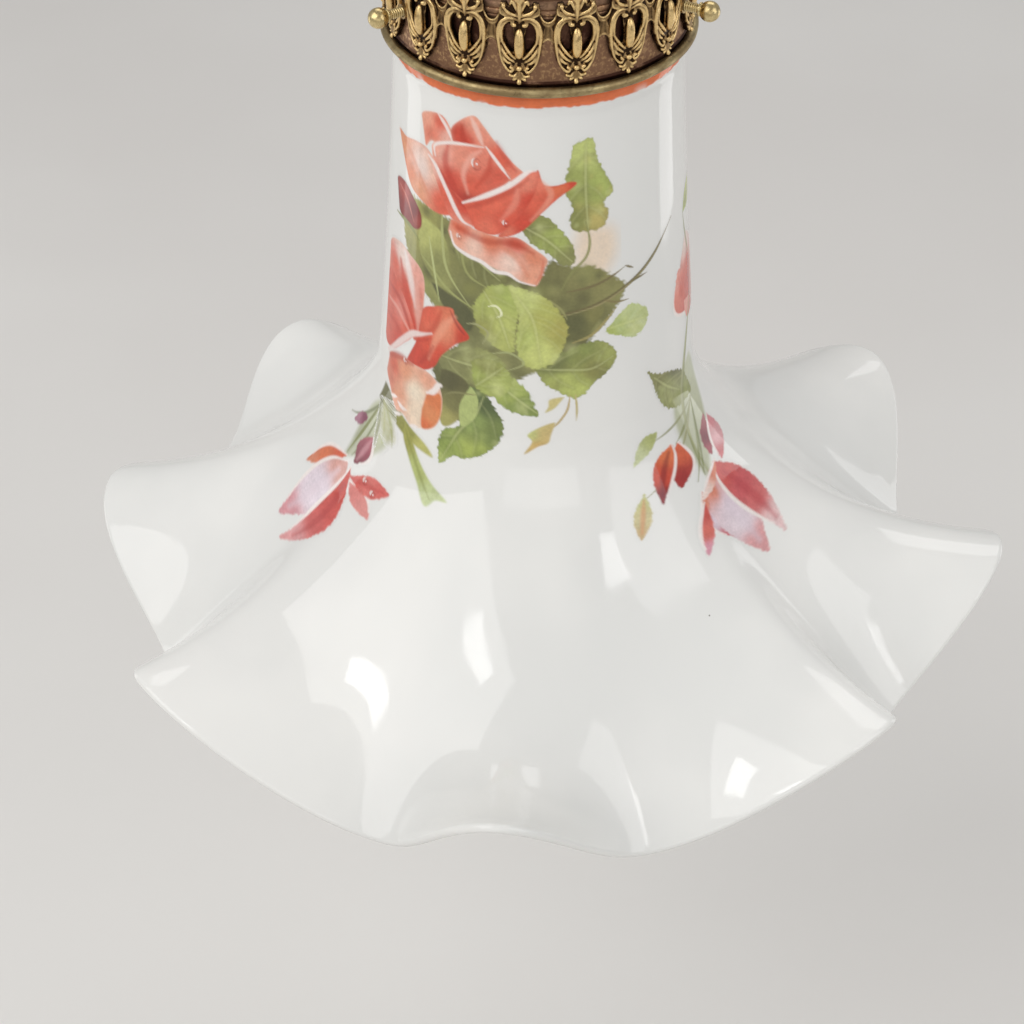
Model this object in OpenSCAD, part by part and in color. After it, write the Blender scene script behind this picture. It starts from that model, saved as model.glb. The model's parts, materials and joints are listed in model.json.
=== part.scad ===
// Hanging lamp head: a ruffled opal glass shade held mouth-down in a pierced brass gallery.
// Millimetres. +Z up, -Y to the front. The origin is the centre of the hanging eye.

/* [Hanging] */
// Height from the hanging eye down to the middle of the gallery's bead
hang_drop = 104; // [100:1:120]
// Radius of the hole in the hanging eye
eye_r = 9; // [8:0.5:10]

/* [Gallery] */
// Outer radius of the plain band
band_r = 52.6; // [52.4:0.1:53]
// Number of cast cartouches round the band, in threes
cartouche_count = 18; // [18:3:21]
// Height of the thumbscrews above the bead
screw_z = 17.5; // [17:0.1:18]

/* [Shade] */
// Length of the glass neck below the bead
neck_length = 139; // [130:1:145]
// Mean radius of the ruffled rim
rim_r = 168; // [160:1:172]
// Mean depth of the rim below the bead
rim_drop = 240; // [232:1:245]
// How strongly the rim is crimped, as a share of the full ruffle
crimp = 1; // [0.4:0.1:1.1]
// Thickness of the glass
glass_t = 3.6; // [3:0.1:4]

/* [Bulb] */
// Largest radius of the bulb
bulb_r = 30; // [27:0.5:32]

/* [Hidden] */
$fn = 96;

sheet_t = 0.8;         // spun and rolled brass sheet
fit_gap = 0.05;        // radial play of a thread or a running fit
clear_gap = 0.3;       // space between pieces that move against each other
far = 200;             // longer than any cut needs to be

// Eye and stem, heights from the bead
ring_t = 6;
ring_width = 7;
edge_cut = 1;
thread_r = 4.9;        // M10 lamp thread
wire_r = 3.8;
loop_bottom = 64;
nipple_top = 80;
nipple_bottom = 36;
wire_z = 84;
bushing_r = 3.4;
bushing_bore_r = 2.6;
loop_boss_r = 5.2;
loop_boss_reach = 9;
dome_top = 54;
nut_across = 17;
nut_h = 5;

// Gallery, heights from the bead
bead_r = 1.8;
bead_centre_r = band_r + bead_r - 0.2;
band_bottom = -1.8;
band_top = 29;
flange_bottom = 26.5;
border_t = 2;
border_low = 3.5;
border_high = 38.5;
cartouche_step = 360 / cartouche_count;
first_cartouche = 12.5;

// Thumbscrews: angles from the front towards +X
screw_right = first_cartouche + 2.5 * cartouche_step;
screw_left = screw_right - 120;
screw_back = screw_right + 120;
screw_shaft_r = 1.75;
screw_shaft_in = 50;
screw_ball_r = 3.6;
screw_ball_at = 64.4;
screw_tip_r = 1.5;
screw_tip_in = 48.5;
boss_r = 2.6;
boss_out = 55.4;

// Socket and bulb, heights from the bead
cap_top = 44;
cap_bottom = 24;
shell_bottom = -14;
shell_r = 18.2;
core_bottom = 12.1;
base_r = 13.05;
base_top = 6;
bulb_neck_z = -19;
bulb_centre_z = -72;
glass_film = 0.7;

// Shade
sides = 108;
neck_steps = 5;
skirt_steps = 10;
neck_top_z = -15;
neck_top_r = 52;
neck_foot = [61, -neck_length];
lip = [
  [49.6, 25.5], [50.6, 24.5], [50.6, 21.5], [48.2, 19], [48, 15], [48.4, 9], [49.4, 3], [51.4, -5]
];
skirt_curve = [
  neck_foot, neck_foot + [4, -30], [rim_r - 66, 30 - rim_drop], [rim_r, -rim_drop]
];
// The hand-crimped rim, folded down and up in turn: angle from the front, then how far
// out and how far up the rim lies from its mean
folds = [
  [-162, -8, -12], [-143, 11, 14], [-120, -9, -13], [-97, 10, 17],
  [-69, -11, -10], [-56, 12, 19], [-22, -10, -20], [-5, 14, 24],
  [15, -9, -19], [46, 11, 18], [58, -7, -15], [80, 18, 27],
  [101, -8, -16], [125, 14, 24], [148, -10, -6], [171, 12, 12]
];
ruffle_growth = 4;     // power by which the ruffle grows from the neck to the rim

// ---- helpers ----

module from_bead() {
  translate([0, 0, -hang_drop]) children();
}

// Turns a piece drawn along +X at height 0 to an angle measured from the front
module at_angle(angle) {
  rotate([0, 0, angle - 90]) children();
}

module tube(outer, inner, low, high) {
  translate([0, 0, low]) difference() {
    cylinder(r = outer, h = high - low);
    translate([0, 0, -1]) cylinder(r = inner, h = high - low + 2);
  }
}

module bar_x(r, from, to) {
  translate([from, 0, 0]) rotate([0, 90, 0]) cylinder(r = r, h = to - from);
}

module hex_nut(low, high) {
  translate([0, 0, low]) difference() {
    cylinder(r = nut_across / 2 / cos(30), h = high - low, $fn = 6);
    translate([0, 0, -1]) cylinder(r = thread_r + fit_gap, h = high - low + 2);
  }
}

function cubic(p, t) =
  pow(1 - t, 3) * p[0] + 3 * t * pow(1 - t, 2) * p[1] + 3 * t * t * (1 - t) * p[2] + t * t * t * p[3];

function curve(p, steps) = [for (i = [0:steps]) cubic(p, i / steps)];

function reversed(list) = [for (i = [len(list) - 1:-1:0]) list[i]];

// Normal of a profile at point i, to the left of its direction of travel turned inward
function inward(p, i) =
  let (a = p[max(i - 1, 0)], b = p[min(i + 1, len(p) - 1)], d = b - a)
  [d[1], -d[0]] / norm(d);

function inset(p, t) = [for (i = [0:len(p) - 1]) p[i] + t * inward(p, i)];

// ---- hanging eye and stem ----

module hang_loop() {
  neck = [
    [0, 64], [9, 64], [9, 67], [7.5, 69], [8, 76], [8, 88], [6.5, 90], [5, 93], [0, 93]
  ];
  ring = [
    [eye_r, -ring_width / 2 + edge_cut], [eye_r + edge_cut, -ring_width / 2],
    [eye_r + ring_t - edge_cut, -ring_width / 2], [eye_r + ring_t, -ring_width / 2 + edge_cut],
    [eye_r + ring_t, ring_width / 2 - edge_cut], [eye_r + ring_t - edge_cut, ring_width / 2],
    [eye_r + edge_cut, ring_width / 2], [eye_r, ring_width / 2 - edge_cut]
  ];
  color("darkgoldenrod") difference() {
    union() {
      rotate([90, 0, 0]) rotate_extrude() polygon(ring);
      from_bead() rotate_extrude() polygon(neck);
      from_bead() translate([0, 0, wire_z]) bar_x(loop_boss_r, 0, loop_boss_reach);
    }
    from_bead() translate([0, 0, loop_bottom - 1])
      cylinder(r = thread_r + fit_gap, h = wire_z + bushing_r + 1 - loop_bottom);
    from_bead() translate([0, 0, wire_z]) bar_x(bushing_r, 0, far);
  }
}

module wire_bushing() {
  color("saddlebrown") from_bead() translate([0, 0, wire_z]) difference() {
    union() {
      bar_x(bushing_r, thread_r + 0.5, loop_boss_reach);
      bar_x(bushing_r + 1, loop_boss_reach, loop_boss_reach + 1.2);
    }
    bar_x(bushing_bore_r, 0, far);
  }
}

module nipple() {
  color("goldenrod") from_bead() tube(thread_r, wire_r, nipple_bottom, nipple_top);
}

module upper_lock_nut() {
  color("darkgoldenrod") from_bead() hex_nut(loop_bottom - nut_h, loop_bottom);
}

module check_ring() {
  profile = [
    [thread_r + fit_gap, dome_top], [12.5, dome_top], [14, dome_top + 1], [13, dome_top + 2.2],
    [11, dome_top + 3], [10, dome_top + 5], [thread_r + fit_gap, dome_top + 5]
  ];
  color("darkgoldenrod") from_bead() rotate_extrude() polygon(profile);
}

module lock_washer() {
  color("goldenrod") from_bead() tube(9, thread_r + fit_gap, dome_top - sheet_t - 1, dome_top - sheet_t);
}

module lower_lock_nut() {
  top = dome_top - sheet_t - 1;
  color("goldenrod") from_bead() hex_nut(top - nut_h, top);
}

// ---- gallery ----

function dome_outside() = concat(
  [[band_r - sheet_t, flange_bottom], [band_r - sheet_t, band_top], [50.6, 31.2], [48.6, 31.6],
   [48.6, 34], [46.8, 35], [44.5, 35.2]],
  curve([[43.5, 36], [41, 47], [22, 45], [14, 53]], 12),
  [[12.5, dome_top]]
);

module gallery_dome() {
  outside = dome_outside();
  inside = inset(outside, -sheet_t);
  crown = [thread_r + 0.2, dome_top];
  profile = concat(
    outside, [crown, crown - [0, sheet_t], [12.2, dome_top - sheet_t]],
    reversed([for (i = [1:len(outside) - 2]) inside[i]]),
    [[band_r - 2 * sheet_t, flange_bottom]]
  );
  color("peru") from_bead() rotate_extrude() polygon(profile);
}

module gallery_band() {
  color("sienna") from_bead() difference() {
    tube(band_r, band_r - sheet_t, band_bottom, band_top);
    for (angle = [screw_left, screw_right, screw_back])
      at_angle(angle) translate([0, 0, screw_z]) bar_x(screw_shaft_r + clear_gap, 40, far);
  }
}

module gallery_bead() {
  color("goldenrod") from_bead() rotate_extrude() difference() {
    translate([bead_centre_r, 0]) circle(r = bead_r, $fn = 48);
    translate([0, -5]) square([band_r, 10]);
  }
}

// Outline of one cartouche with its two arms: x along the band, y up from the bead.
// The arms run a little past the middle of the gap, into the arms of the next one.
module cartouche_outline() {
  arm = band_r * tan(cartouche_step / 2) + 0.6;
  right = [
    [0, border_low], [1.6, 4.2], [3.2, 5.8], [4, 8], [5.4, 9.4], [6.2, 11.6], [6.8, 14.6],
    [7.2, 17.4], [7.9, 18.9], [arm, 19.5], [arm, 25.6], [7.9, 26.2], [6.8, 28.2], [6.4, 32.4],
    [4.6, 32.9], [3.4, 30.8], [2.6, 33], [2.4, 36.4], [0, border_high]
  ];
  left = [for (i = [len(right) - 2:-1:1]) [-right[i][0], right[i][1]]];
  polygon(concat(right, left));
}

module heart_opening() {
  polygon([[2, 14.6], [3.7, 16.4], [5, 19.2], [5.2, 22], [4.4, 24.4], [3.2, 24.9], [2.3, 23.6], [1.9, 21], [1.8, 17]]);
}

// Lays a flat outline against the band at an angle and gives it depth
module radial_slab(angle) {
  at_angle(angle) translate([band_r - 4, 0, 0]) rotate([90, 0, 90]) linear_extrude(10) children();
}

module gallery_border() {
  color("gold") from_bead() difference() {
    intersection() {
      tube(band_r + border_t, band_r, border_low - 1, border_high + 1);
      for (i = [0:cartouche_count - 1])
        radial_slab(first_cartouche + i * cartouche_step) cartouche_outline();
    }
    for (i = [0:cartouche_count - 1])
      radial_slab(first_cartouche + i * cartouche_step) {
        heart_opening();
        mirror([1, 0]) heart_opening();
      }
    for (angle = [screw_left, screw_right, screw_back])
      at_angle(angle) translate([0, 0, screw_z]) bar_x(boss_r + fit_gap, band_r - 2, far);
  }
}

module screw_bosses() {
  color("goldenrod") from_bead() for (angle = [screw_left, screw_right, screw_back])
    at_angle(angle) difference() {
      translate([0, 0, screw_z]) bar_x(boss_r, band_r - 2, boss_out);
      cylinder(r = band_r, h = far);
      translate([0, 0, screw_z]) bar_x(screw_shaft_r + fit_gap, 40, far);
    }
}

module thumbscrew(angle) {
  color("khaki") from_bead() at_angle(angle) translate([0, 0, screw_z]) {
    bar_x(screw_shaft_r, screw_shaft_in, screw_ball_at);
    bar_x(screw_shaft_r + 0.7, screw_ball_at - screw_ball_r - 0.6, screw_ball_at);
    translate([screw_ball_at, 0, 0]) rotate([0, 90, 0]) rotate_extrude()
      intersection() {
        circle(r = screw_ball_r, $fn = 64);
        translate([0, -10]) square([10, 20]);
      }
  }
}

module screw_tip(angle) {
  color("dimgray") from_bead() at_angle(angle) translate([0, 0, screw_z])
    bar_x(screw_tip_r, screw_tip_in, screw_shaft_in);
}

// ---- shade ----

// Radius of the neck at a height below its top, opening faster towards the foot
function neck_r_at(z) =
  let (s = (neck_top_z - z) / (neck_length + neck_top_z))
  neck_top_r + (neck_foot[0] - neck_top_r) * (0.7 * s + 0.3 * s * s);

neck_profile = [
  for (i = [0:neck_steps - 1])
    let (z = neck_top_z - i / neck_steps * (neck_length + neck_top_z)) [neck_r_at(z), z]
];
outer_profile = concat(lip, neck_profile, curve(skirt_curve, skirt_steps));
first_skirt = len(outer_profile) - skirt_steps - 1;

// How much of the ruffle a profile point takes: none on the neck, all of it at the rim
function ruffle_share(i) =
  i <= first_skirt ? 0 : crimp * pow((i - first_skirt) / skirt_steps, ruffle_growth);

// Fold before an angle, and the offset of the rim between two folds
function fold_before(angle) = max([for (i = [0:len(folds) - 1]) if (folds[i][0] <= angle) i]);

function between(a, b, angle) =
  let (gap = b[0] - a[0] + (b[0] < a[0] ? 360 : 0), share = (1 - cos(180 * (angle - a[0]) / gap)) / 2)
  [a[1] + share * (b[1] - a[1]), a[2] + share * (b[2] - a[2])];

function fold_offset(angle) =
  angle < folds[0][0] ? fold_offset(angle + 360)
  : let (i = fold_before(angle)) between(folds[i], folds[(i + 1) % len(folds)], angle);

function shade_point(profile_point, share, angle) =
  let (offset = share * fold_offset(angle), r = profile_point[0] + offset[0], z = profile_point[1] + offset[1])
  [r * sin(angle), -r * cos(angle), z];

module shade() {
  last = len(outer_profile) - 1;
  inner_profile = inset(outer_profile, glass_t);
  edge = [outer_profile[last] + [0.25, -0.6] * glass_t];
  loop = concat(outer_profile, edge, reversed(inner_profile));
  shares = concat(
    [for (i = [0:last]) ruffle_share(i)], [1], [for (i = [last:-1:0]) ruffle_share(i)]
  );
  rings = len(loop);
  points = [
    for (a = [0:sides - 1]) for (i = [0:rings - 1]) shade_point(loop[i], shares[i], a * 360 / sides - 180)
  ];
  function at(a, i) = (a % sides) * rings + i % rings;
  faces = [
    for (a = [0:sides - 1]) for (i = [0:rings - 1]) for (half = [0, 1])
      half == 0 ? [at(a, i), at(a + 1, i), at(a + 1, i + 1)] : [at(a, i), at(a + 1, i + 1), at(a, i + 1)]
  ];
  color("white") from_bead() polyhedron(points, faces, convexity = 6);
}

// ---- socket ----

module socket_cap() {
  outside = [
    [7, cap_top + 2.5], [7, cap_top - 2], [11, cap_top - 3], [15.5, cap_top - 6.5],
    [18, cap_top - 12], [19, cap_top - 14], [19, cap_bottom]
  ];
  profile = concat(
    [[thread_r + fit_gap, cap_top + 2.5]], outside,
    reversed([for (i = [2:len(outside) - 1]) outside[i] - [sheet_t, i == len(outside) - 1 ? 0 : sheet_t]]),
    [[7, cap_top - 5], [thread_r + fit_gap, cap_top - 5]]
  );
  color("goldenrod") from_bead() difference() {
    rotate_extrude() polygon(profile);
    translate([0, 0, cap_top]) bar_x(1.3, 0, far);
  }
}

module socket_set_screw() {
  color("silver") from_bead() translate([0, 0, cap_top]) difference() {
    bar_x(1.3, thread_r, 8.6);
    translate([7.8, -2, -0.3]) cube([2, 4, 0.6]);
  }
}

module socket_shell() {
  color("goldenrod") from_bead() rotate_extrude() polygon([
    [shell_r, cap_bottom + 5], [shell_r, shell_bottom + 2], [shell_r + 1, shell_bottom + 1],
    [shell_r + 0.6, shell_bottom], [shell_r - sheet_t, shell_bottom],
    [shell_r - sheet_t, cap_bottom + 5]
  ]);
}

module socket_lining() {
  color("tan") from_bead() tube(shell_r - sheet_t, shell_r - sheet_t - 0.9, shell_bottom + 1, cap_bottom + 4);
}

module socket_core() {
  core_r = 16.2;
  color("ivory") from_bead() difference() {
    translate([0, 0, 8]) cylinder(r = core_r, h = 18);
    translate([0, 0, 7]) cylinder(r = 13.9, h = core_bottom - 7);
    translate([0, 0, 7]) cylinder(r = 1.5, h = 30);
    for (side = [-1, 1])
      translate([side * 10.5, 0, 20]) cylinder(r = 2.3, h = 10);
  }
}

module terminal_screws() {
  color("silver") from_bead() for (side = [-1, 1])
    translate([side * 10.5, 0, 20]) difference() {
      union() {
        cylinder(r = 2.2, h = 5);
        translate([0, 0, 6]) cylinder(r = 3.4, h = 1.8);
        cylinder(r = 1.6, h = 7);
      }
      translate([-4, -0.4, 7]) cube([8, 0.8, 2]);
    }
}

module socket_screw_shell() {
  color("gold") from_bead() tube(13.8, 13.35, shell_bottom + 3, core_bottom);
}

module socket_contact() {
  color("gold") from_bead() {
    translate([0, 0, 9.9]) cylinder(r = 3.5, h = 0.6);
    translate([0, 0, 10.2]) cylinder(r = 1.2, h = 9);
  }
}

// ---- bulb ----

module bulb_base() {
  color("silver") from_bead() rotate_extrude() polygon([
    [9, base_top], [12, base_top - 0.4], [base_r, base_top - 2], [base_r, bulb_neck_z],
    [base_r - 0.4, bulb_neck_z], [base_r - 0.4, base_top - 2.2], [11.8, base_top - 0.9],
    [9, base_top - 0.5]
  ]);
}

module bulb_insulator() {
  color("black") from_bead() rotate_extrude() polygon([
    [0, base_top - 1], [8.9, base_top - 1], [8.9, base_top + 0.2], [4.6, base_top + 2.2], [0, base_top + 2.2]
  ]);
}

module bulb_contact() {
  color("silver") from_bead() translate([0, 0, base_top + 2.2])
    rotate_extrude() polygon([[0, 0], [4.4, 0], [4, 1], [2.6, 1.4], [0, 1.4]]);
}

// Outside of the bulb from the middle of its bottom up to the seam in the base
bulb_profile = concat(
  [for (i = [0:14]) let (a = -90 + i * 8) [bulb_r * cos(a), bulb_centre_z + bulb_r * sin(a)]],
  curve([
    [bulb_r * cos(22), bulb_centre_z + bulb_r * sin(22)], [23, -50], [14.6, -40], [14.6, bulb_neck_z - 2]
  ], 8),
  [[12.5, bulb_neck_z], [12.5, bulb_neck_z + 6]]
);

module bulb_glass() {
  inside = inset(bulb_profile, -glass_film);
  keep = [for (p = reversed(inside)) if (p[0] > 0.5) p];
  color("lightcyan") from_bead() rotate_extrude()
    polygon(concat(bulb_profile, keep, [[0, bulb_centre_z - bulb_r + glass_film]]));
}

module bulb_stem() {
  color("lightcyan") from_bead() rotate_extrude() polygon([
    [0, bulb_neck_z + 4], [8.5, bulb_neck_z + 4], [6, bulb_neck_z + 1], [3.4, bulb_neck_z - 6],
    [2.4, bulb_neck_z - 22], [1.2, bulb_neck_z - 34], [0, bulb_neck_z - 35]
  ]);
}

lead_low = -66;
lead_out = 11;
lead_r = 0.3;

module bulb_leads() {
  top = bulb_neck_z - 12;
  start = 3.4;
  run = lead_out - start;
  color("silver") from_bead() for (side = [-1, 1])
    translate([side * start, 0, top]) rotate([0, side * (180 - atan2(run, top - lead_low)), 0])
      cylinder(r = lead_r, h = norm([run, top - lead_low]), $fn = 24);
}

module bulb_filament() {
  color("orange") from_bead() translate([0, 0, lead_low - 0.5]) rotate_extrude(angle = 180)
    translate([lead_out, 0]) circle(r = 0.25, $fn = 24);
}

hang_loop();
wire_bushing();
nipple();
upper_lock_nut();
check_ring();
gallery_dome();
lock_washer();
lower_lock_nut();
gallery_band();
gallery_bead();
gallery_border();
screw_bosses();
thumbscrew(screw_left);  // thumbscrew_left
thumbscrew(screw_right);  // thumbscrew_right
thumbscrew(screw_back);  // thumbscrew_back
screw_tip(screw_left);  // screw_tip_left
screw_tip(screw_right);  // screw_tip_right
screw_tip(screw_back);  // screw_tip_back
shade();
socket_cap();
socket_set_screw();
socket_shell();
socket_lining();
socket_core();
terminal_screws();
socket_screw_shell();
socket_contact();
bulb_base();
bulb_insulator();
bulb_contact();
bulb_glass();
bulb_stem();
bulb_leads();
bulb_filament();
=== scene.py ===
"""Looks of the hanging lamp head: a ruffled opal glass shade with painted roses in a cast brass gallery.

Sizes are in millimetres and heights are measured from the gallery's bead plane, as in the part's source.
Angles go round the lamp from the front (-Y) towards +X. Meshes are made in metres, in the row's frame.
"""
import json
import math

import bmesh
import bpy
import numpy as np
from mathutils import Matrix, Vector


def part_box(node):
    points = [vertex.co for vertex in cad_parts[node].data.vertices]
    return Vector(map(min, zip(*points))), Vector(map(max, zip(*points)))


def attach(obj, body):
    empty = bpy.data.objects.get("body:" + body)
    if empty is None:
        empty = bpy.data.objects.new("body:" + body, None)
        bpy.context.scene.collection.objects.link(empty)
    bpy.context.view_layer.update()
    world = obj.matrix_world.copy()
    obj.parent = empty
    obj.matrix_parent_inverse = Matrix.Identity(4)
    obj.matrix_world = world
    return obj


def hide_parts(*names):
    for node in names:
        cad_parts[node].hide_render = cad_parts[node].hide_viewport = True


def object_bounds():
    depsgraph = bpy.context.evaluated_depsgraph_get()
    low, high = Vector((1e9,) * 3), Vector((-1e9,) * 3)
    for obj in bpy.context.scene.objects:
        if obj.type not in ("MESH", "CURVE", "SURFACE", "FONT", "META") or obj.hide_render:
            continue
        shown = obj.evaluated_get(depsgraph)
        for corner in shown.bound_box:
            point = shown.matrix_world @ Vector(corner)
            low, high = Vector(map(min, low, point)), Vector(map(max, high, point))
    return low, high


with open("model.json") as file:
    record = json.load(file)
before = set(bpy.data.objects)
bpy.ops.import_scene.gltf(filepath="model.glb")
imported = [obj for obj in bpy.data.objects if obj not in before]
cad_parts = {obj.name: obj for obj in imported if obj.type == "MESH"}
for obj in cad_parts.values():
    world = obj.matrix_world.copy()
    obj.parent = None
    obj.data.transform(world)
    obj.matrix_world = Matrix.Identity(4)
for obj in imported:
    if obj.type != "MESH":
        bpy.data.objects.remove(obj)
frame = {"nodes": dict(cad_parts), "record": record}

# ---- sizes taken from the frame ----

MM = 0.001
CAD_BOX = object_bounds()
bead_low, bead_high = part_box("gallery_bead")
BEAD_PLANE = (bead_low.z + bead_high.z) / 2
BEAD_TUBE_R = (bead_high.z - bead_low.z) / 2 / MM
BEAD_R = bead_high.x / MM - BEAD_TUBE_R
BAND_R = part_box("gallery_band")[1].x / MM
LAMP_LOW = CAD_BOX[0].z
nodes = frame["nodes"]

# ---- the glass, as in the part's source ----

GLASS_T = 3.6  # its thickness
NECK_TOP, NECK_END = -15.0, -139.0
NECK_R, NECK_FLARE = 52.0, 9.0
LIP = [(49.6, 25.5), (50.6, 24.5), (50.6, 21.5), (48.2, 19), (48, 15), (48.4, 9), (49.6, 3), (51.2, -2.5),
       (51.7, -6.5), (51.45, -8.6), (51.8, -10.8)]
SKIRT = np.array([(61, -139), (65, -169), (102, -210), (168, -240)], float)
# The rim's folds: angle, and how far out and up each one moves the rim
FOLDS = np.array([
    (-162, -8, -12), (-143, 11, 14), (-120, -9, -13), (-97, 10, 17),
    (-69, -11, -10), (-56, 12, 19), (-22, -10, -20), (-5, 14, 24),
    (15, -9, -19), (46, 11, 18), (58, -7, -15), (80, 18, 27),
    (101, -8, -16), (125, 14, 24), (148, -10, -6), (171, 12, 12),
], float)
RUFFLE_GROWTH = 4
FRONT_FOLD = 7  # this fold shows near the rim only, so the front of the skirt stays smooth
FRONT_FADE = 2.4
SHADE_SIDES = 360
PAINT_R = 56.0  # radius at which the painting's widths are measured


# ---- mesh helpers ----

def polar(radius, angle, height):
    """Points at an angle in degrees from the front; the three may be arrays that broadcast."""
    radius, angle, height = np.broadcast_arrays(radius, np.radians(angle), height)
    return np.stack([radius * np.sin(angle), -radius * np.cos(angle), height], -1)


def grid_faces(rows, columns, wrap_rows=False, wrap_columns=False):
    """Quads of a grid of points stored row after row."""
    i, j = np.meshgrid(
        np.arange(rows if wrap_rows else rows - 1), np.arange(columns if wrap_columns else columns - 1),
        indexing="ij",
    )
    down, right = (i + 1) % rows, (j + 1) % columns
    corners = [i * columns + j, i * columns + right, down * columns + right, down * columns + j]
    return np.stack(corners, -1).reshape(-1, 4)


def unit(v):
    return v / np.maximum(np.linalg.norm(v, axis=-1, keepdims=True), 1e-9)


def smooth_line(points, steps):
    """A Catmull-Rom curve through the points."""
    p = np.array(points, float)
    p = np.vstack([2 * p[0] - p[1], p, 2 * p[-1] - p[-2]])
    t = np.linspace(0, 1, steps, endpoint=False)[:, None]
    spans = []
    for a, b, c, d in zip(p[:-3], p[1:-2], p[2:-1], p[3:]):
        spans.append(0.5 * (2 * b + (c - a) * t + (2 * a - 5 * b + 4 * c - d) * t ** 2
                            + (3 * b - a - 3 * c + d) * t ** 3))
    return np.vstack([*spans, p[-2]])


def add_object(name, data):
    """An object in the scene for a mesh, a curve, a light or a camera."""
    obj = bpy.data.objects.new(name, data)
    bpy.context.scene.collection.objects.link(obj)
    return obj


def new_mesh(name, points, faces, material):
    """A smooth mesh in the row's frame from points in mm and faces."""
    mesh = bpy.data.meshes.new(name)
    points = np.asarray(points, float) * MM + (0, 0, BEAD_PLANE)
    mesh.from_pydata(points.tolist(), [], np.asarray(faces).tolist())
    mesh.shade_smooth()
    mesh.materials.append(material)
    return mesh


def close_mesh(mesh, merge=0.0, fill=False):
    """Merges points that lie within a distance, fills open ends if asked and turns the normals out."""
    bm = bmesh.new()
    bm.from_mesh(mesh)
    if merge:
        bmesh.ops.remove_doubles(bm, verts=bm.verts, dist=merge)
    if fill:
        bmesh.ops.holes_fill(bm, edges=bm.edges)
    bmesh.ops.recalc_face_normals(bm, faces=bm.faces)
    bm.to_mesh(mesh)
    bm.free()


def mesh_object(name, points, faces, material):
    """A smooth object from points in mm and faces, with its normals facing out."""
    mesh = new_mesh(name, points, faces, material)
    close_mesh(mesh, merge=1e-7)
    return add_object(name, mesh)


def with_modifiers(obj):
    """A new mesh of the object as its modifiers leave it."""
    return bpy.data.meshes.new_from_object(obj.evaluated_get(bpy.context.evaluated_depsgraph_get()))


def store(mesh, name, values):
    """Keeps a number at each point of a mesh, for its material to read."""
    mesh.attributes.new(name, "FLOAT", "POINT").data.foreach_set("value", values)


def place(obj, body, slot, *stands_for):
    """Says which CAD body an object rides on and hides the nodes that it stands for; slot is not used."""
    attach(obj, body)
    if stands_for:
        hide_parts(*stands_for)
    return obj


def lathe(outline, sides=240):
    """Points and faces of a closed outline of (radius, height) turned about the lamp's axis."""
    r, z = np.array(outline, float).T
    angle = np.arange(sides) * 360 / sides
    points = polar(r[:, None], angle[None, :], z[:, None]).reshape(-1, 3)
    return points, grid_faces(len(r), sides, True, True)


# ---- node helpers ----

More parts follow.
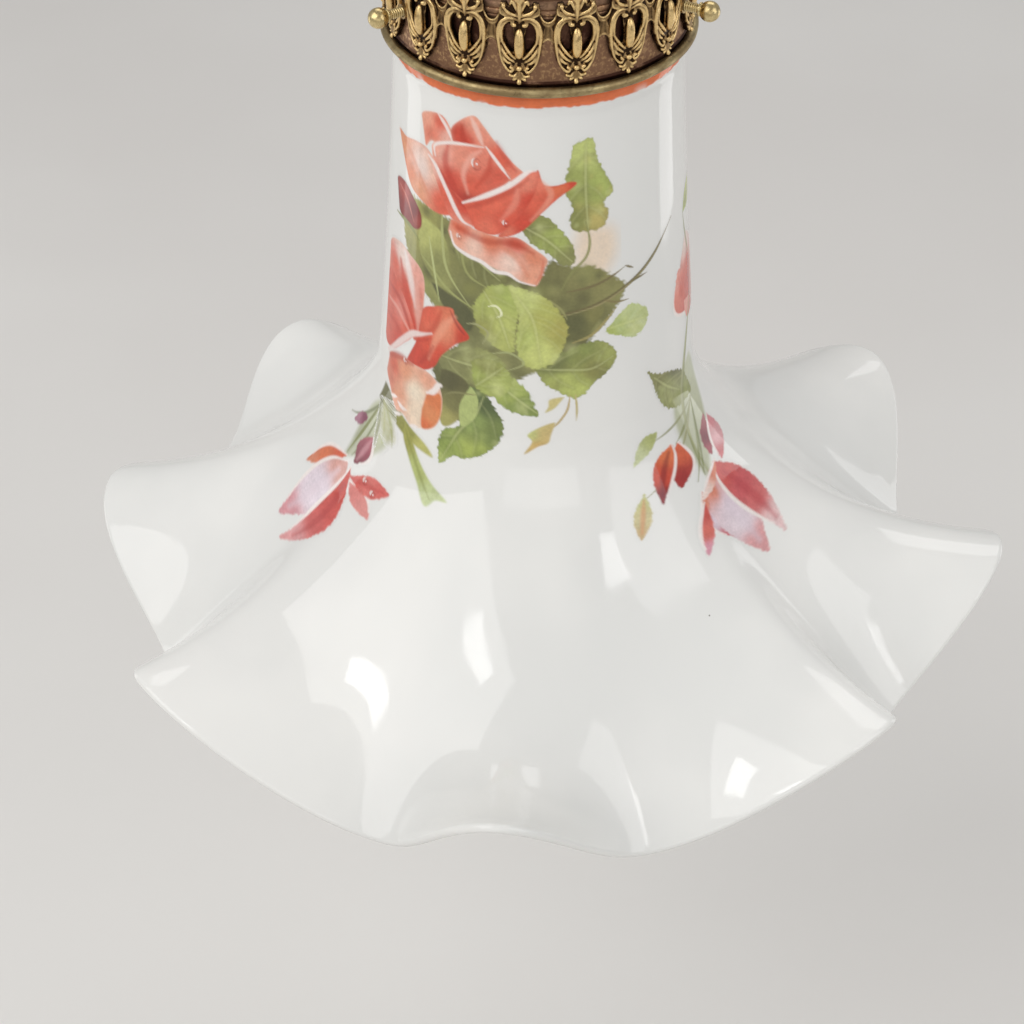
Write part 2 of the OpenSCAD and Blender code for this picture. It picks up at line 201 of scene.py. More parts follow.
class Nodes:
    """A new material's node tree, with short calls for the nodes used here."""

    def __init__(self, name):
        self.material = bpy.data.materials.new(name)
        self.material.use_nodes = True
        self.tree = self.material.node_tree
        self.shader = self.tree.nodes["Principled BSDF"]
        self.coordinates = self.add("ShaderNodeTexCoord").outputs["Object"]

    def add(self, kind, **settings):
        node = self.tree.nodes.new(kind)
        for key, value in settings.items():
            setattr(node, key, value)
        return node

    def link(self, a, b):
        self.tree.links.new(a, b)

    def set(self, **values):
        for key, value in values.items():
            self.shader.inputs[key.replace("_", " ")].default_value = value

    def noise(self, scale, detail=4.0, roughness=0.55, stretch=(1, 1, 1), distortion=0.0):
        """A noise value from 0 to 1; scale is in cycles per metre."""
        mapping = self.add("ShaderNodeMapping")
        mapping.inputs["Scale"].default_value = stretch
        self.link(self.coordinates, mapping.inputs["Vector"])
        node = self.add("ShaderNodeTexNoise")
        node.inputs["Scale"].default_value = scale
        node.inputs["Detail"].default_value = detail
        node.inputs["Roughness"].default_value = roughness
        node.inputs["Distortion"].default_value = distortion
        self.link(mapping.outputs["Vector"], node.inputs["Vector"])
        return node.outputs["Fac"]

    def specks(self, scale, size, share):
        """Round specks, 1 inside and 0 outside, in a share of the cells; size is in cells."""
        node = self.add("ShaderNodeTexVoronoi")
        node.inputs["Scale"].default_value = scale
        self.link(self.coordinates, node.inputs["Vector"])
        near = self.ramp(node.outputs["Distance"], size, size * 0.6)
        chosen = self.ramp(node.outputs["Color"], share, share - 0.01)
        return self.math("MULTIPLY", near, chosen)

    def ramp(self, value, low, high, out_low=0.0, out_high=1.0):
        """Maps a value from low..high to out_low..out_high, smoothly and clamped."""
        node = self.add("ShaderNodeMapRange", interpolation_type="SMOOTHSTEP")
        if low > high:
            low, high, out_low, out_high = high, low, out_high, out_low
        self.link(value, node.inputs["Value"])
        for key, number in zip(("From Min", "From Max", "To Min", "To Max"), (low, high, out_low, out_high)):
            node.inputs[key].default_value = number
        return node.outputs["Result"]

    def math(self, operation, a, b):
        node = self.add("ShaderNodeMath", operation=operation)
        for socket, value in zip(node.inputs, (a, b)):
            if isinstance(value, (int, float)):
                socket.default_value = value
            else:
                self.link(value, socket)
        return node.outputs["Value"]

    def mix(self, share, a, b):
        """Colour a where share is 0 and b where it is 1."""
        node = self.add("ShaderNodeMix", data_type="RGBA")
        self.link(share, node.inputs["Factor"])
        for socket, value in ((node.inputs[6], a), (node.inputs[7], b)):
            if isinstance(value, tuple):
                socket.default_value = (*value, 1)
            else:
                self.link(value, socket)
        return node.outputs[2]

    def attribute(self, name, kind="Fac"):
        return self.add("ShaderNodeAttribute", attribute_name=name).outputs[kind]

    def bump(self, height, distance, strength=1.0, under=None):
        """A bump of that height in metres, on top of another one if given."""
        node = self.add("ShaderNodeBump")
        node.inputs["Strength"].default_value = strength
        node.inputs["Distance"].default_value = distance
        self.link(height, node.inputs["Height"])
        if under is not None:
            self.link(under, node.inputs["Normal"])
        return node.outputs["Normal"]

    def finish(self, colour=None, roughness=None, normal=None):
        for socket, value in (("Base Color", colour), ("Roughness", roughness), ("Normal", normal)):
            if value is not None:
                self.link(value, self.shader.inputs[socket])
        return self.material


# ---- materials ----

def opal_glass(name, painted=False):
    """Glossy opal white glass; with painted, the mesh's own enamel colours lie over the same glass."""
    n = Nodes(name)
    milk = n.ramp(n.noise(14, 3, 0.5, (1, 1, 0.45)), 0.35, 0.68)
    colour = n.mix(milk, (0.80, 0.802, 0.785), (0.865, 0.862, 0.84))
    colour = n.mix(n.specks(55, 0.022, 0.28), colour, (0.22, 0.20, 0.19))
    if painted:
        brushed = n.ramp(n.noise(900, 3, 0.6), 0.3, 0.7, 0.93, 1.0)
        enamel = n.mix(brushed, (0.0, 0.0, 0.0), n.attribute("enamel", "Color"))
        colour = n.mix(n.attribute("cover"), colour, enamel)
    smears = n.ramp(n.noise(38, 5, 0.62, (1, 1, 0.5), 0.4), 0.42, 0.75, 0.045, 0.16)
    waves = n.bump(n.noise(22, 2, 0.4), 0.0012, 0.35)
    fine = n.bump(n.noise(420, 3, 0.5), 0.00002, 0.25, waves)
    n.set(IOR=1.5)
    return n.finish(colour, smears, fine)


def brass(name, bright, dull, dirt_and_shade_tone, grime=0.5, roughness=(0.22, 0.5), relief=False, scratch=0.3):
    """Old brass: a rubbed tone, a dull tone and dirt. With relief, a value stored on the mesh says where each
    is: rubbed wear and painted highlight on the crests, dirt and painted shade in the low places.
    """
    n = Nodes(name)
    cloudy = n.ramp(n.noise(90, 6, 0.65, distortion=0.5), 0.35, 0.66)
    spots = n.ramp(n.noise(650, 4, 0.7), 0.45, 0.64)
    # Painted light: the stored value puts the rubbed tone, partly a painted highlight, on crests, and the
    # dark tone, partly painted shade, in low places
    if relief:
        height = n.attribute("relief")
        wear_and_highlight = n.ramp(n.math("ADD", height, n.math("MULTIPLY", spots, 0.16)), 0.56, 0.92)
        dirt_and_shade = n.ramp(n.math("ADD", height, n.math("MULTIPLY", cloudy, 0.14)), 0.47, 0.26)
    else:
        wear_and_highlight = cloudy
        dirt_and_shade = n.math("MULTIPLY", n.ramp(n.noise(240, 6, 0.7, distortion=1.2), 0.50, 0.70), grime)
    colour = n.mix(wear_and_highlight, dull, bright)
    colour = n.mix(n.math("MULTIPLY", spots, 0.35), colour, dull)
    colour = n.mix(dirt_and_shade, colour, dirt_and_shade_tone)
    low, high = roughness
    rough = n.ramp(n.math("ADD", n.math("MULTIPLY", spots, 0.5), n.math("MULTIPLY", cloudy, 0.5)),
                   0.2, 0.9, high, low)
    pits = n.bump(n.noise(1500, 5, 0.65), 0.00006, scratch)
    dents = n.bump(n.noise(160, 3, 0.5), 0.00035, 0.3, pits)
    n.set(Metallic=1.0)
    return n.finish(colour, rough, dents)


def plain(name, light, dark, scale, roughness, metallic=0.0, bump=0.00003, **settings):
    """A plain finish whose colour, roughness and surface vary a little."""
    n = Nodes(name)
    cloud = n.ramp(n.noise(scale, 5, 0.6), 0.3, 0.7)
    grain = n.noise(scale * 9, 4, 0.6)
    low, high = roughness
    n.set(Metallic=metallic, **settings)
    return n.finish(n.mix(cloud, dark, light), n.ramp(grain, 0.3, 0.7, low, high), n.bump(grain, bump, 0.5))


# Rubbed tone, dull tone and dark tone of the band; the dark tone is painted shade, laid behind the cartouches
# and just above the bead
BAND_TONES = (0.80, 0.52, 0.24), (0.27, 0.15, 0.09), (0.06, 0.026, 0.018)
# Rubbed tone, dull tone and dirt of each brass, and its other settings; on the cast brass the rubbed tone is
# partly painted highlight on the crests and the dirt tone partly painted shade in the hollows
BRASSES = {
    "cast_brass": ((0.86, 0.62, 0.29), (0.30, 0.19, 0.085), (0.04, 0.022, 0.012),
                   {"roughness": (0.2, 0.42), "relief": True}),
    "patinated_brass": ((0.36, 0.22, 0.13), (0.20, 0.115, 0.075), (0.05, 0.03, 0.02),
                        {"roughness": (0.34, 0.6)}),
    "bead_brass": ((0.52, 0.42, 0.22), (0.30, 0.22, 0.11), (0.07, 0.045, 0.025), {"roughness": (0.3, 0.5)}),
    "aged_brass": ((0.55, 0.40, 0.18), (0.28, 0.19, 0.09), (0.06, 0.04, 0.02), {}),
    "polished_brass": ((0.78, 0.64, 0.34), (0.55, 0.42, 0.2), (0.2, 0.14, 0.07),
                       {"grime": 0.25, "roughness": (0.15, 0.32)}),
    "plain_brass": ((0.72, 0.55, 0.26), (0.58, 0.42, 0.18), (0.3, 0.2, 0.1),
                    {"grime": 0.2, "roughness": (0.2, 0.4)}),
}
# Light tone, dark tone, their clouds in cycles a metre and roughness of each plain finish, and other settings
PLAIN_FINISHES = {
    "steel": ((0.62, 0.62, 0.61), (0.48, 0.48, 0.48), 300, (0.28, 0.5), {"metallic": 1.0}),
    "rubber": ((0.045, 0.043, 0.04), (0.025, 0.024, 0.023), 400, (0.6, 0.8), {}),
    "brown_plastic": ((0.12, 0.06, 0.03), (0.08, 0.04, 0.02), 200, (0.25, 0.45), {}),
    "fibre": ((0.40, 0.28, 0.16), (0.30, 0.20, 0.11), 500, (0.6, 0.8), {"bump": 0.0001}),
    "porcelain": ((0.86, 0.84, 0.78), (0.80, 0.77, 0.70), 60, (0.08, 0.2), {}),
    "bulb_metal": ((0.80, 0.80, 0.79), (0.66, 0.66, 0.65), 250, (0.2, 0.4), {"metallic": 1.0}),
    "black_glass": ((0.02, 0.02, 0.022), (0.012, 0.012, 0.012), 200, (0.08, 0.2), {}),
    "solder": ((0.66, 0.66, 0.67), (0.5, 0.5, 0.5), 700, (0.25, 0.5), {"metallic": 1.0, "bump": 0.0001}),
    "frosted_glass": ((0.92, 0.92, 0.90), (0.86, 0.86, 0.84), 90, (0.28, 0.4), {}),
    "clear_glass": ((0.95, 0.97, 0.97), (0.93, 0.95, 0.95), 90, (0.02, 0.06), {"Transmission_Weight": 0.9}),
    "tungsten": ((0.30, 0.30, 0.32), (0.2, 0.2, 0.21), 900, (0.4, 0.6), {"metallic": 1.0}),
}


def make_finishes():
    """The material of every slot, by the slot's name."""
    finishes = {"opal_glass": opal_glass("opal_glass")}
    for name, (*tones, settings) in BRASSES.items():
        finishes[name] = brass(name, *tones, **settings)
    for name, (*looks, settings) in PLAIN_FINISHES.items():
        finishes[name] = plain(name, *looks, **settings)
    return finishes


# ---- the shade ----

def cubic(p, t):
    t = t[:, None]
    return (p[0] * (1 - t) ** 3 + 3 * p[1] * t * (1 - t) ** 2 + 3 * p[2] * t ** 2 * (1 - t) + p[3] * t ** 3)


def fold_offset(angle, folds=FOLDS):
    """How far out and up the rim stands at each angle, between one fold and the next."""
    folds = np.vstack([folds[-1] - (360, 0, 0), folds, folds[0] + (360, 0, 0)])
    angle = (np.asarray(angle, float) + 180) % 360 - 180
    i = np.searchsorted(folds[:, 0], angle, side="right") - 1
    a, b = folds[i], folds[i + 1]
    share = (1 - np.cos(np.pi * (angle - a[..., 0]) / (b[..., 0] - a[..., 0]))) / 2
    offset = a + share[..., None] * (b - a)
    return offset[..., 1], offset[..., 2]


def shade_profile():
    """The outside from lip to rim: radius, height, share of the ruffle and length from the bead plane."""
    lip = smooth_line(LIP, 4)
    neck_z = np.linspace(NECK_TOP, NECK_END, 70)
    down = (NECK_TOP - neck_z) / (NECK_TOP - NECK_END)
    neck = np.stack([NECK_R + NECK_FLARE * (0.7 * down + 0.3 * down ** 2), neck_z], -1)
    t = np.linspace(0, 1, 64)
    line = np.vstack([lip, neck, cubic(SKIRT, t[1:])])
    share = np.concatenate([np.zeros(len(line) - len(t) + 1), t[1:] ** RUFFLE_GROWTH])
    steps = np.linalg.norm(np.diff(line, axis=0), axis=1)
    length = np.concatenate([[0], np.cumsum(steps)])
    at_bead = np.interp(0, -line[:, 1], length)
    return line[:, 0], line[:, 1], share, length - at_bead


PROFILE_R, PROFILE_Z, PROFILE_SHARE, PROFILE_LENGTH = shade_profile()


def glass_points(angle, length):
    """Points of the outside of the glass at angles in degrees and lengths in mm down from the bead plane."""
    angle, length = np.broadcast_arrays(np.asarray(angle, float), np.asarray(length, float))
    share = np.interp(length, PROFILE_LENGTH, PROFILE_SHARE)
    out, up = fold_offset(angle)
    broad_out, broad_up = fold_offset(angle, np.delete(FOLDS, FRONT_FOLD, 0))
    near_rim = share ** FRONT_FADE
    radius = np.interp(length, PROFILE_LENGTH, PROFILE_R) + share * broad_out + near_rim * (out - broad_out)
    height = np.interp(length, PROFILE_LENGTH, PROFILE_Z) + share * broad_up + near_rim * (up - broad_up)
    return polar(radius, angle, height)


def glass_frame(angle, length):
    """Points of the glass with their outward normals and their directions down the glass."""
    turn, step = 0.4, 0.8
    down = unit(glass_points(angle, length + step) - glass_points(angle, length - step))
    across = unit(glass_points(angle + turn, length) - glass_points(angle - turn, length))
    normal = unit(np.cross(down, across))
    return glass_points(angle, length), normal, down


def make_shade(material):
    angle = np.arange(SHADE_SIDES)[None, :] * 360 / SHADE_SIDES
    length = PROFILE_LENGTH[:, None]
    outside, normal, down = glass_frame(angle, length)
    last = len(length) - 1
    half = GLASS_T / 2
    turns = np.linspace(0, np.pi, 9)[1:-1, None, None]
    edge = (outside[last] - half * normal[last])[None] + half * (
        np.cos(turns) * normal[last][None] + np.sin(turns) * down[last][None])
    inside = (outside - GLASS_T * normal)[::-1][::2]
    loop = np.concatenate([outside, edge, inside])
    faces = grid_faces(len(loop), SHADE_SIDES, True, True)
    place(mesh_object("opal_shade", loop.reshape(-1, 3), faces, material), "root", "opal_glass", "shade")


# ---- the painting ----

SKIN_OVER, SKIN_UNDER = 0.05, 0.15  # how far the enamel stands on the glass and reaches into it
PAINT_STEP = 0.45
CORAL, DEEP_RED, DARK_RED, SALMON = "#E0644C", "#CF4632", "#8E2F2C", "#EA937C"
PEACH, PALE, ROSE_WHITE = "#EFC6B2", "#F2DCD3", "#F7EEEA"
LIGHT_LEAF, LEAF, OLIVE, DARK_OLIVE = "#C6D07F", "#AEBB66", "#90925A", "#6B6A44"
YELLOW_LEAF, TAN, BLUSH = "#C2B46C", "#CDB67C", "#F0CFA8"


def tone(code):
    """A #RRGGBB colour as the linear numbers that shaders use."""
    c = np.array([int(code[i:i + 2], 16) for i in (1, 3, 5)]) / 255
    return np.where(c <= 0.04045, c / 12.92, ((c + 0.055) / 1.055) ** 2.4)


def ease(value, low, high):
    t = np.clip((value - low) / (high - low), 0, 1)
    return t * t * (3 - 2 * t)


def closed_curve(outline, steps=5):
    """A smooth closed curve through the outline's points."""
    p = np.array(outline, float)
    return smooth_line(np.vstack([p[-2:], p, p[:2]]), steps)[2 * steps:-2 * steps]


def line_distance(x, s, line):
    """Distance from each point to a line, and how far along the line the nearest point is, 0 to 1."""
    nearest, along = np.full(x.shape, np.inf), np.zeros(x.shape)
    for i, ((x0, s0), (x1, s1)) in enumerate(zip(line[:-1], line[1:])):
        dx, ds = x1 - x0, s1 - s0
        t = np.clip(((x - x0) * dx + (s - s0) * ds) / max(dx * dx + ds * ds, 1e-9), 0, 1)
        d = np.hypot(x - x0 - t * dx, s - s0 - t * ds)
        along = np.where(d < nearest, (i + t) / (len(line) - 1), along)
        nearest = np.minimum(nearest, d)
    return nearest, along


def inside(x, s, outline):
    """Distance from each point to the outline, above 0 inside it."""
    within = np.zeros(x.shape, bool)
    for (x0, s0), (x1, s1) in zip(outline, np.roll(outline, -1, 0)):
        if s0 != s1:
            within ^= ((s0 > s) != (s1 > s)) & (x < (x1 - x0) * (s - s0) / (s1 - s0) + x0)
    distance = line_distance(x, s, np.vstack([outline, outline[:1]]))[0]
    return np.where(within, distance, -distance)


def cloud(x, s, size, seed):
    """Smooth noise from 0 to 1 with features of that size, the same each run."""
    random = np.random.default_rng(seed)
    total = np.zeros(x.shape)
    for _ in range(14):
        turn, phase = random.uniform(0, 2 * np.pi, 2)
        wave = 2 * np.pi / (size * random.uniform(0.6, 1.7))
        total += np.sin((x * np.cos(turn) + s * np.sin(turn)) * wave + phase)
    return np.clip(0.5 + total / 11, 0, 1)


class Painting:
    """Enamel on a patch of the glass. x is mm across at PAINT_R and s is mm down from the bead plane."""

    def __init__(self, x_range, s_range, step=PAINT_STEP):
        self.x_line = np.arange(x_range[0], x_range[1], step)
        self.s_line = np.arange(s_range[0], s_range[1], step)
        self.x, self.s = np.meshgrid(self.x_line, self.s_line)
        self.colour = np.tile(tone(ROSE_WHITE), (*self.x.shape, 1))
        self.cover = np.zeros(self.x.shape)
        self.step = step
        self.count = 0

    def window(self, line, margin):
        """The part of the grid round a line."""
        (x0, s0), (x1, s1) = np.min(line, 0) - margin, np.max(line, 0) + margin
        columns = slice(*np.searchsorted(self.x_line, (x0, x1)))
        rows = slice(*np.searchsorted(self.s_line, (s0, s1)))
        return rows, columns

    def lay(self, at, colour, amount, covers=True):
        """Lays a colour over the window; without covers it only tints paint that is there already."""
        if not covers:
            amount = amount * self.cover[at]
        old = self.cover[at]
        shown = amount + old * (1 - amount)
        share = amount / np.maximum(shown, 1e-6)
        self.colour[at] += (colour - self.colour[at]) * share[..., None]
        self.cover[at] = shown

    def shape(self, outline, tones, soft=0.35, ragged=0.0, opacity=1.0, rim=None):
        """A filled shape. tones are (x, s, colour) points that its colour blends between."""
        self.count += 1
        line = closed_curve(outline)
        at = self.window(line, 2)
        x, s = self.x[at], self.s[at]
        depth = inside(x, s, line)
        if ragged:
            depth = depth + ragged * (cloud(x, s, 2.2, self.count) - 0.5) * 2
        total, weight = 0, 0
        for tx, ts, code in tones:
            w = 1 / (((x - tx) ** 2 + (s - ts) ** 2) + 4) ** 1.6
            total, weight = total + w[..., None] * tone(code), weight + w
        colour = total / weight[..., None]
        broad, fine = cloud(x, s, 5, self.count + 50) - 0.5, cloud(x, s, 1.4, self.count + 90) - 0.5
        colour = colour * (1 + 0.14 * broad + 0.10 * fine)[..., None]
        if rim:
            code, width, strength = rim
            near = strength * np.exp(-np.maximum(depth, 0) / width)
            colour = colour + (tone(code) - colour) * near[..., None]
        self.lay(at, np.clip(colour, 0, 1), opacity * ease(depth, -soft, soft))
        return line

    def stroke(self, points, code, width, strength=1.0, soft=0.4, within=None, taper=(0.3, 0.15)):
        """A line that thins to shares of its width at its two ends; within keeps it inside a shape."""
        line = smooth_line(points, 5)
        at = self.window(line, width + soft)
        x, s = self.x[at], self.s[at]
        distance, along = line_distance(x, s, line)
        start, end = taper
        half = width / 2 * np.minimum(start + (1 - start) * ease(along, 0, 0.3),
                                      end + (1 - end) * ease(along, 1, 0.6))
        amount = strength * (1 - ease(distance, half - soft / 2, half + soft))
        if within is not None:
            amount = amount * ease(inside(x, s, within), -0.1, 0.5)
        self.lay(at, tone(code), amount)

    def glow(self, centre, radius, code, strength):
        """A soft round patch of colour on paint that is there already."""
        at = self.window(np.array([centre]), radius)
        distance = np.hypot(self.x[at] - centre[0], self.s[at] - centre[1])
        self.lay(at, tone(code), strength * ease(distance, radius, 0), covers=False)

    def leaf(self, outline, rib, tones, vein="#D9DE9C", dark=DARK_OLIVE, pairs=3):
        """A leaf with its midrib and pairs of side veins that lean towards its tip."""
        line = self.shape(outline, tones, ragged=0.45, rim=(dark, 0.7, 0.35))
        codes = [code for _, _, code in tones]
        self.dapple(outline, (codes[-1], dark, codes[0], vein), 26, 3.0, 0.30)
        centre = smooth_line(rib, 6)
        reach = np.ptp(np.array(outline), 0).max() * 0.42
        for k in range(pairs):
            i = int((0.12 + 0.68 * k / max(pairs - 1, 1)) * (len(centre) - 2))
            ahead = unit(centre[i + 1] - centre[i])
            for side in (-1, 1):
                out = np.array([-ahead[1], ahead[0]]) * side
                middle = centre[i] + reach * (0.34 * out + 0.30 * ahead)
                tip = centre[i] + reach * (0.62 * out + 0.78 * ahead)
                shadow = np.array([0.35, 0.45])
                self.stroke([centre[i] + shadow, middle + shadow, tip + shadow], dark, 1.5, 0.20, 1.2, line)
                self.stroke([centre[i], middle, tip], vein, 0.5, 0.16, 0.6, line)
        self.stroke(rib, dark, 1.6, 0.26, 1.2, line)
        self.stroke(rib, vein, 0.55, 0.42, 0.5, line)

    def dapple(self, outline, codes, count, size, strength):
        """Soft patches of several tones on the paint inside an outline, in random but repeatable places."""
        line = closed_curve(outline)
        low, high = line.min(0), line.max(0)
        random = np.random.default_rng(len(outline) * 100 + count)
        for k in range(count):
            centre = low + random.random(2) * (high - low)
            radius = size * (0.5 + random.random())
            if inside(np.array([centre[0]]), np.array([centre[1]]), line)[0] > 0:
                self.glow(centre, radius, codes[k % len(codes)], strength)

    def dew(self, x, s, size=1.0):
        """A dew drop: a dark lower edge, a bright ring and a spark."""
        ring = [(x + size * math.cos(a), s + 1.2 * size * math.sin(a)) for a in np.linspace(0.3, 5.6, 9)]
        self.stroke(ring, DARK_RED, 0.5, 0.45, 0.5)
        self.stroke([(px - 0.3, ps - 0.3) for px, ps in ring[3:7]], ROSE_WHITE, 0.5, 0.9, 0.3)
        self.stroke([(x - 0.2, s - 0.3), (x + 0.1, s)], "#FFFFFF", 0.6, 1.0, 0.3)


def paint_foliage(p):
    """The dark leaves behind the roses and the bed that they stand on."""
    p.shape([(14, 54), (27, 56), (29, 66), (24, 74), (15, 72), (12, 62)], [(20, 63, BLUSH)], soft=4.5,
            opacity=0.6)
    p.shape([(-57, 55), (-46, 54), (-36, 55), (-24, 60), (-10, 66), (0, 72), (4, 66), (12, 69), (20, 70),
             (30, 78), (33, 82), (27, 91), (17, 101), (8, 108), (-4, 113), (-12, 120), (-20, 126),
             (-22, 134), (-32, 137), (-37, 126), (-40, 116), (-30, 106), (-30, 96), (-42, 92), (-55, 80),
             (-60, 66)],
            [(-50, 62, "#A8A560"), (-36, 70, "#8B8B55"), (-25, 66, DARK_OLIVE), (-30, 88, "#6F6F48"),
             (14, 92, "#76754A"), (22, 82, "#8F8C58"), (-22, 114, "#86875A"), (-30, 124, "#63633F"),
             (-12, 70, "#6F6D45"), (-38, 84, "#9A9C60")], soft=0.8, ragged=0.6)
    p.dapple([(-55, 55), (-24, 60), (0, 72), (20, 70), (33, 82), (17, 101), (-12, 120), (-36, 137),
              (-40, 110), (-55, 80)], ("#9A9A62", "#5C5B3A", "#ABAA70", "#6B6A44", "#4E4D33", "#86874F"),
             150, 4.5, 0.55)
    p.shape([(-48, 60), (-38, 62), (-34, 72), (-38, 82), (-46, 78), (-50, 68)],
            [(-46, 64, "#B9BC72"), (-38, 76, OLIVE)], soft=0.6)
    p.leaf([(-34, 58), (-24, 62), (-14, 68), (-12, 76), (-22, 78), (-31, 70)],
           [(-33, 59), (-23, 68), (-14, 75)], [(-28, 62, OLIVE), (-18, 74, "#7B7C4B")])
    p.leaf([(-7, 53), (0, 48), (6, 52), (12, 60), (13, 67), (9, 68.5), (3, 63), (-3, 59)],
           [(-5, 53), (3, 58), (12, 67)], [(-2, 52, "#8F9456"), (6, 58, LEAF), (10, 66, OLIVE)])
    p.shape([(8, 88), (18, 86), (24, 88), (20, 95), (13, 101), (8, 98)],
            [(14, 92, "#63643F"), (20, 90, "#86834F")], soft=0.8)
    p.shape([(-42, 84), (-32, 86), (-24, 90), (-25, 98), (-34, 94)], [(-33, 90, "#5E5F3E")], soft=0.7)
    p.leaf([(-30, 106), (-20, 104), (-12, 108), (-12, 118), (-22, 120), (-34, 118), (-38, 112)],
           [(-36, 112), (-24, 112), (-13, 112)], [(-30, 110, "#8A8B5B"), (-16, 112, "#A2A768")])


def paint_leaves(p):
    """The leaves round the roses, from the back ones to the front ones."""
    p.leaf([(12, 22), (19.5, 20), (21.5, 28), (25, 35), (28, 42), (24, 45.5), (26, 50), (23, 55.5),
            (13, 55), (11, 51), (12, 46), (9, 38), (11, 28)], [(17, 22), (17, 40), (18, 56)],
           [(16, 26, LIGHT_LEAF), (13, 36, "#9EA75D"), (22, 40, LEAF), (14, 51, "#8D9152"),
            (22, 52, YELLOW_LEAF)])
    p.stroke([(17, 52), (18.5, 60), (17, 66), (12, 71), (8, 78)], OLIVE, 0.9, 0.9)
    p.leaf([(24, 98), (33, 90.5), (38, 91), (43, 96), (41, 102), (36, 104), (29, 101)],
           [(22, 97), (32, 97), (42, 98)], [(30, 94, "#C2CF95"), (38, 100, "#CBD3A0"), (25, 99, LEAF)],
           dark=LEAF)
    p.leaf([(-12, 133), (-13, 142), (-19, 149), (-25, 151.5), (-29, 152), (-33, 156.5), (-35, 149),
            (-34, 143), (-28, 139), (-24, 128), (-26, 121), (-20, 122), (-16, 126)],
           [(-19, 124), (-22, 133), (-28, 142), (-33, 155)],
           [(-18, 128, "#5D6B42"), (-24, 134, "#97A961"), (-16, 140, "#7C8A4E"), (-22, 147, LEAF),
            (-33, 149, "#93A35B"), (-33, 155, "#B4C274")], dark="#4F5B38")
    p.shape([(-36, 118), (-26, 119), (-24, 128), (-30, 139), (-35, 141), (-37, 130)],
            [(-32, 122, "#5E5C3C"), (-30, 130, "#7C7A4C"), (-33, 138, "#A9A463")], soft=0.5)
    p.shape([(-24, 121), (-21, 126), (-22, 134), (-27, 139), (-28, 131), (-26, 125)], [(-24, 130, "#B4C07A")])
    p.leaf([(-10, 114), (-4, 119), (-1, 126), (0, 130), (-8, 129), (-14, 125), (-16, 119)],
           [(-13, 118), (-6, 124), (0, 129)], [(-10, 119, LEAF), (-4, 127, "#8E9E56")], dark="#6F7F48")
    p.leaf([(-24, 110), (-16, 108), (-11, 111), (-9, 117), (-12, 122), (-18, 123), (-23, 119)],
           [(-22, 120), (-17, 115), (-12, 110)],
           [(-19, 112, "#8F9052"), (-14, 118, "#BBC673"), (-21, 116, LEAF)], dark="#7A8048")
    p.leaf([(-1, 110), (8, 104), (15, 101), (22, 101), (27, 105), (28.5, 109), (26, 114), (20, 118),
            (14, 123.5), (7, 120), (2, 116)], [(0, 110), (10, 111), (19, 112), (27, 109)],
           [(6, 108, "#747A49"), (16, 104, "#8B9553"), (24, 107, "#A9AF66"), (8, 116, "#B9C26E"),
            (15, 120, "#BDC770"), (20, 113, "#8D8C50")], dark="#6A6B42")
    p.leaf([(-24, 88), (-20, 80), (-16, 77), (-9, 77), (-7, 84), (-8, 95), (-9, 103.5), (-14, 103),
            (-20, 98), (-23, 93)], [(-20, 80), (-14, 90), (-10, 102)],
           [(-18, 84, "#B5BE6B"), (-12, 80, LEAF), (-14, 95, "#C5CD78"), (-18, 96, "#9B9B58")],
           dark="#8B9050")
    p.leaf([(-11, 77), (-4, 78), (3, 81), (8, 88), (10.5, 95), (8, 103), (5, 108), (-1, 110), (-6, 107),
            (-8, 98), (-7, 88)], [(-8, 80), (-2, 90), (1, 108)],
           [(-5, 84, "#C9D283"), (2, 88, "#B9B964"), (8, 95, "#B3AC5E"), (0, 103, "#CBD27F"),
            (-5, 98, "#BFCB76")], dark="#979A50", pairs=5)
    p.stroke([(-18, 86), (-15.5, 85.4), (-13.6, 87), (-13.4, 89), (-15, 90)], "#EEF0C8", 0.7, 0.95, 0.3)


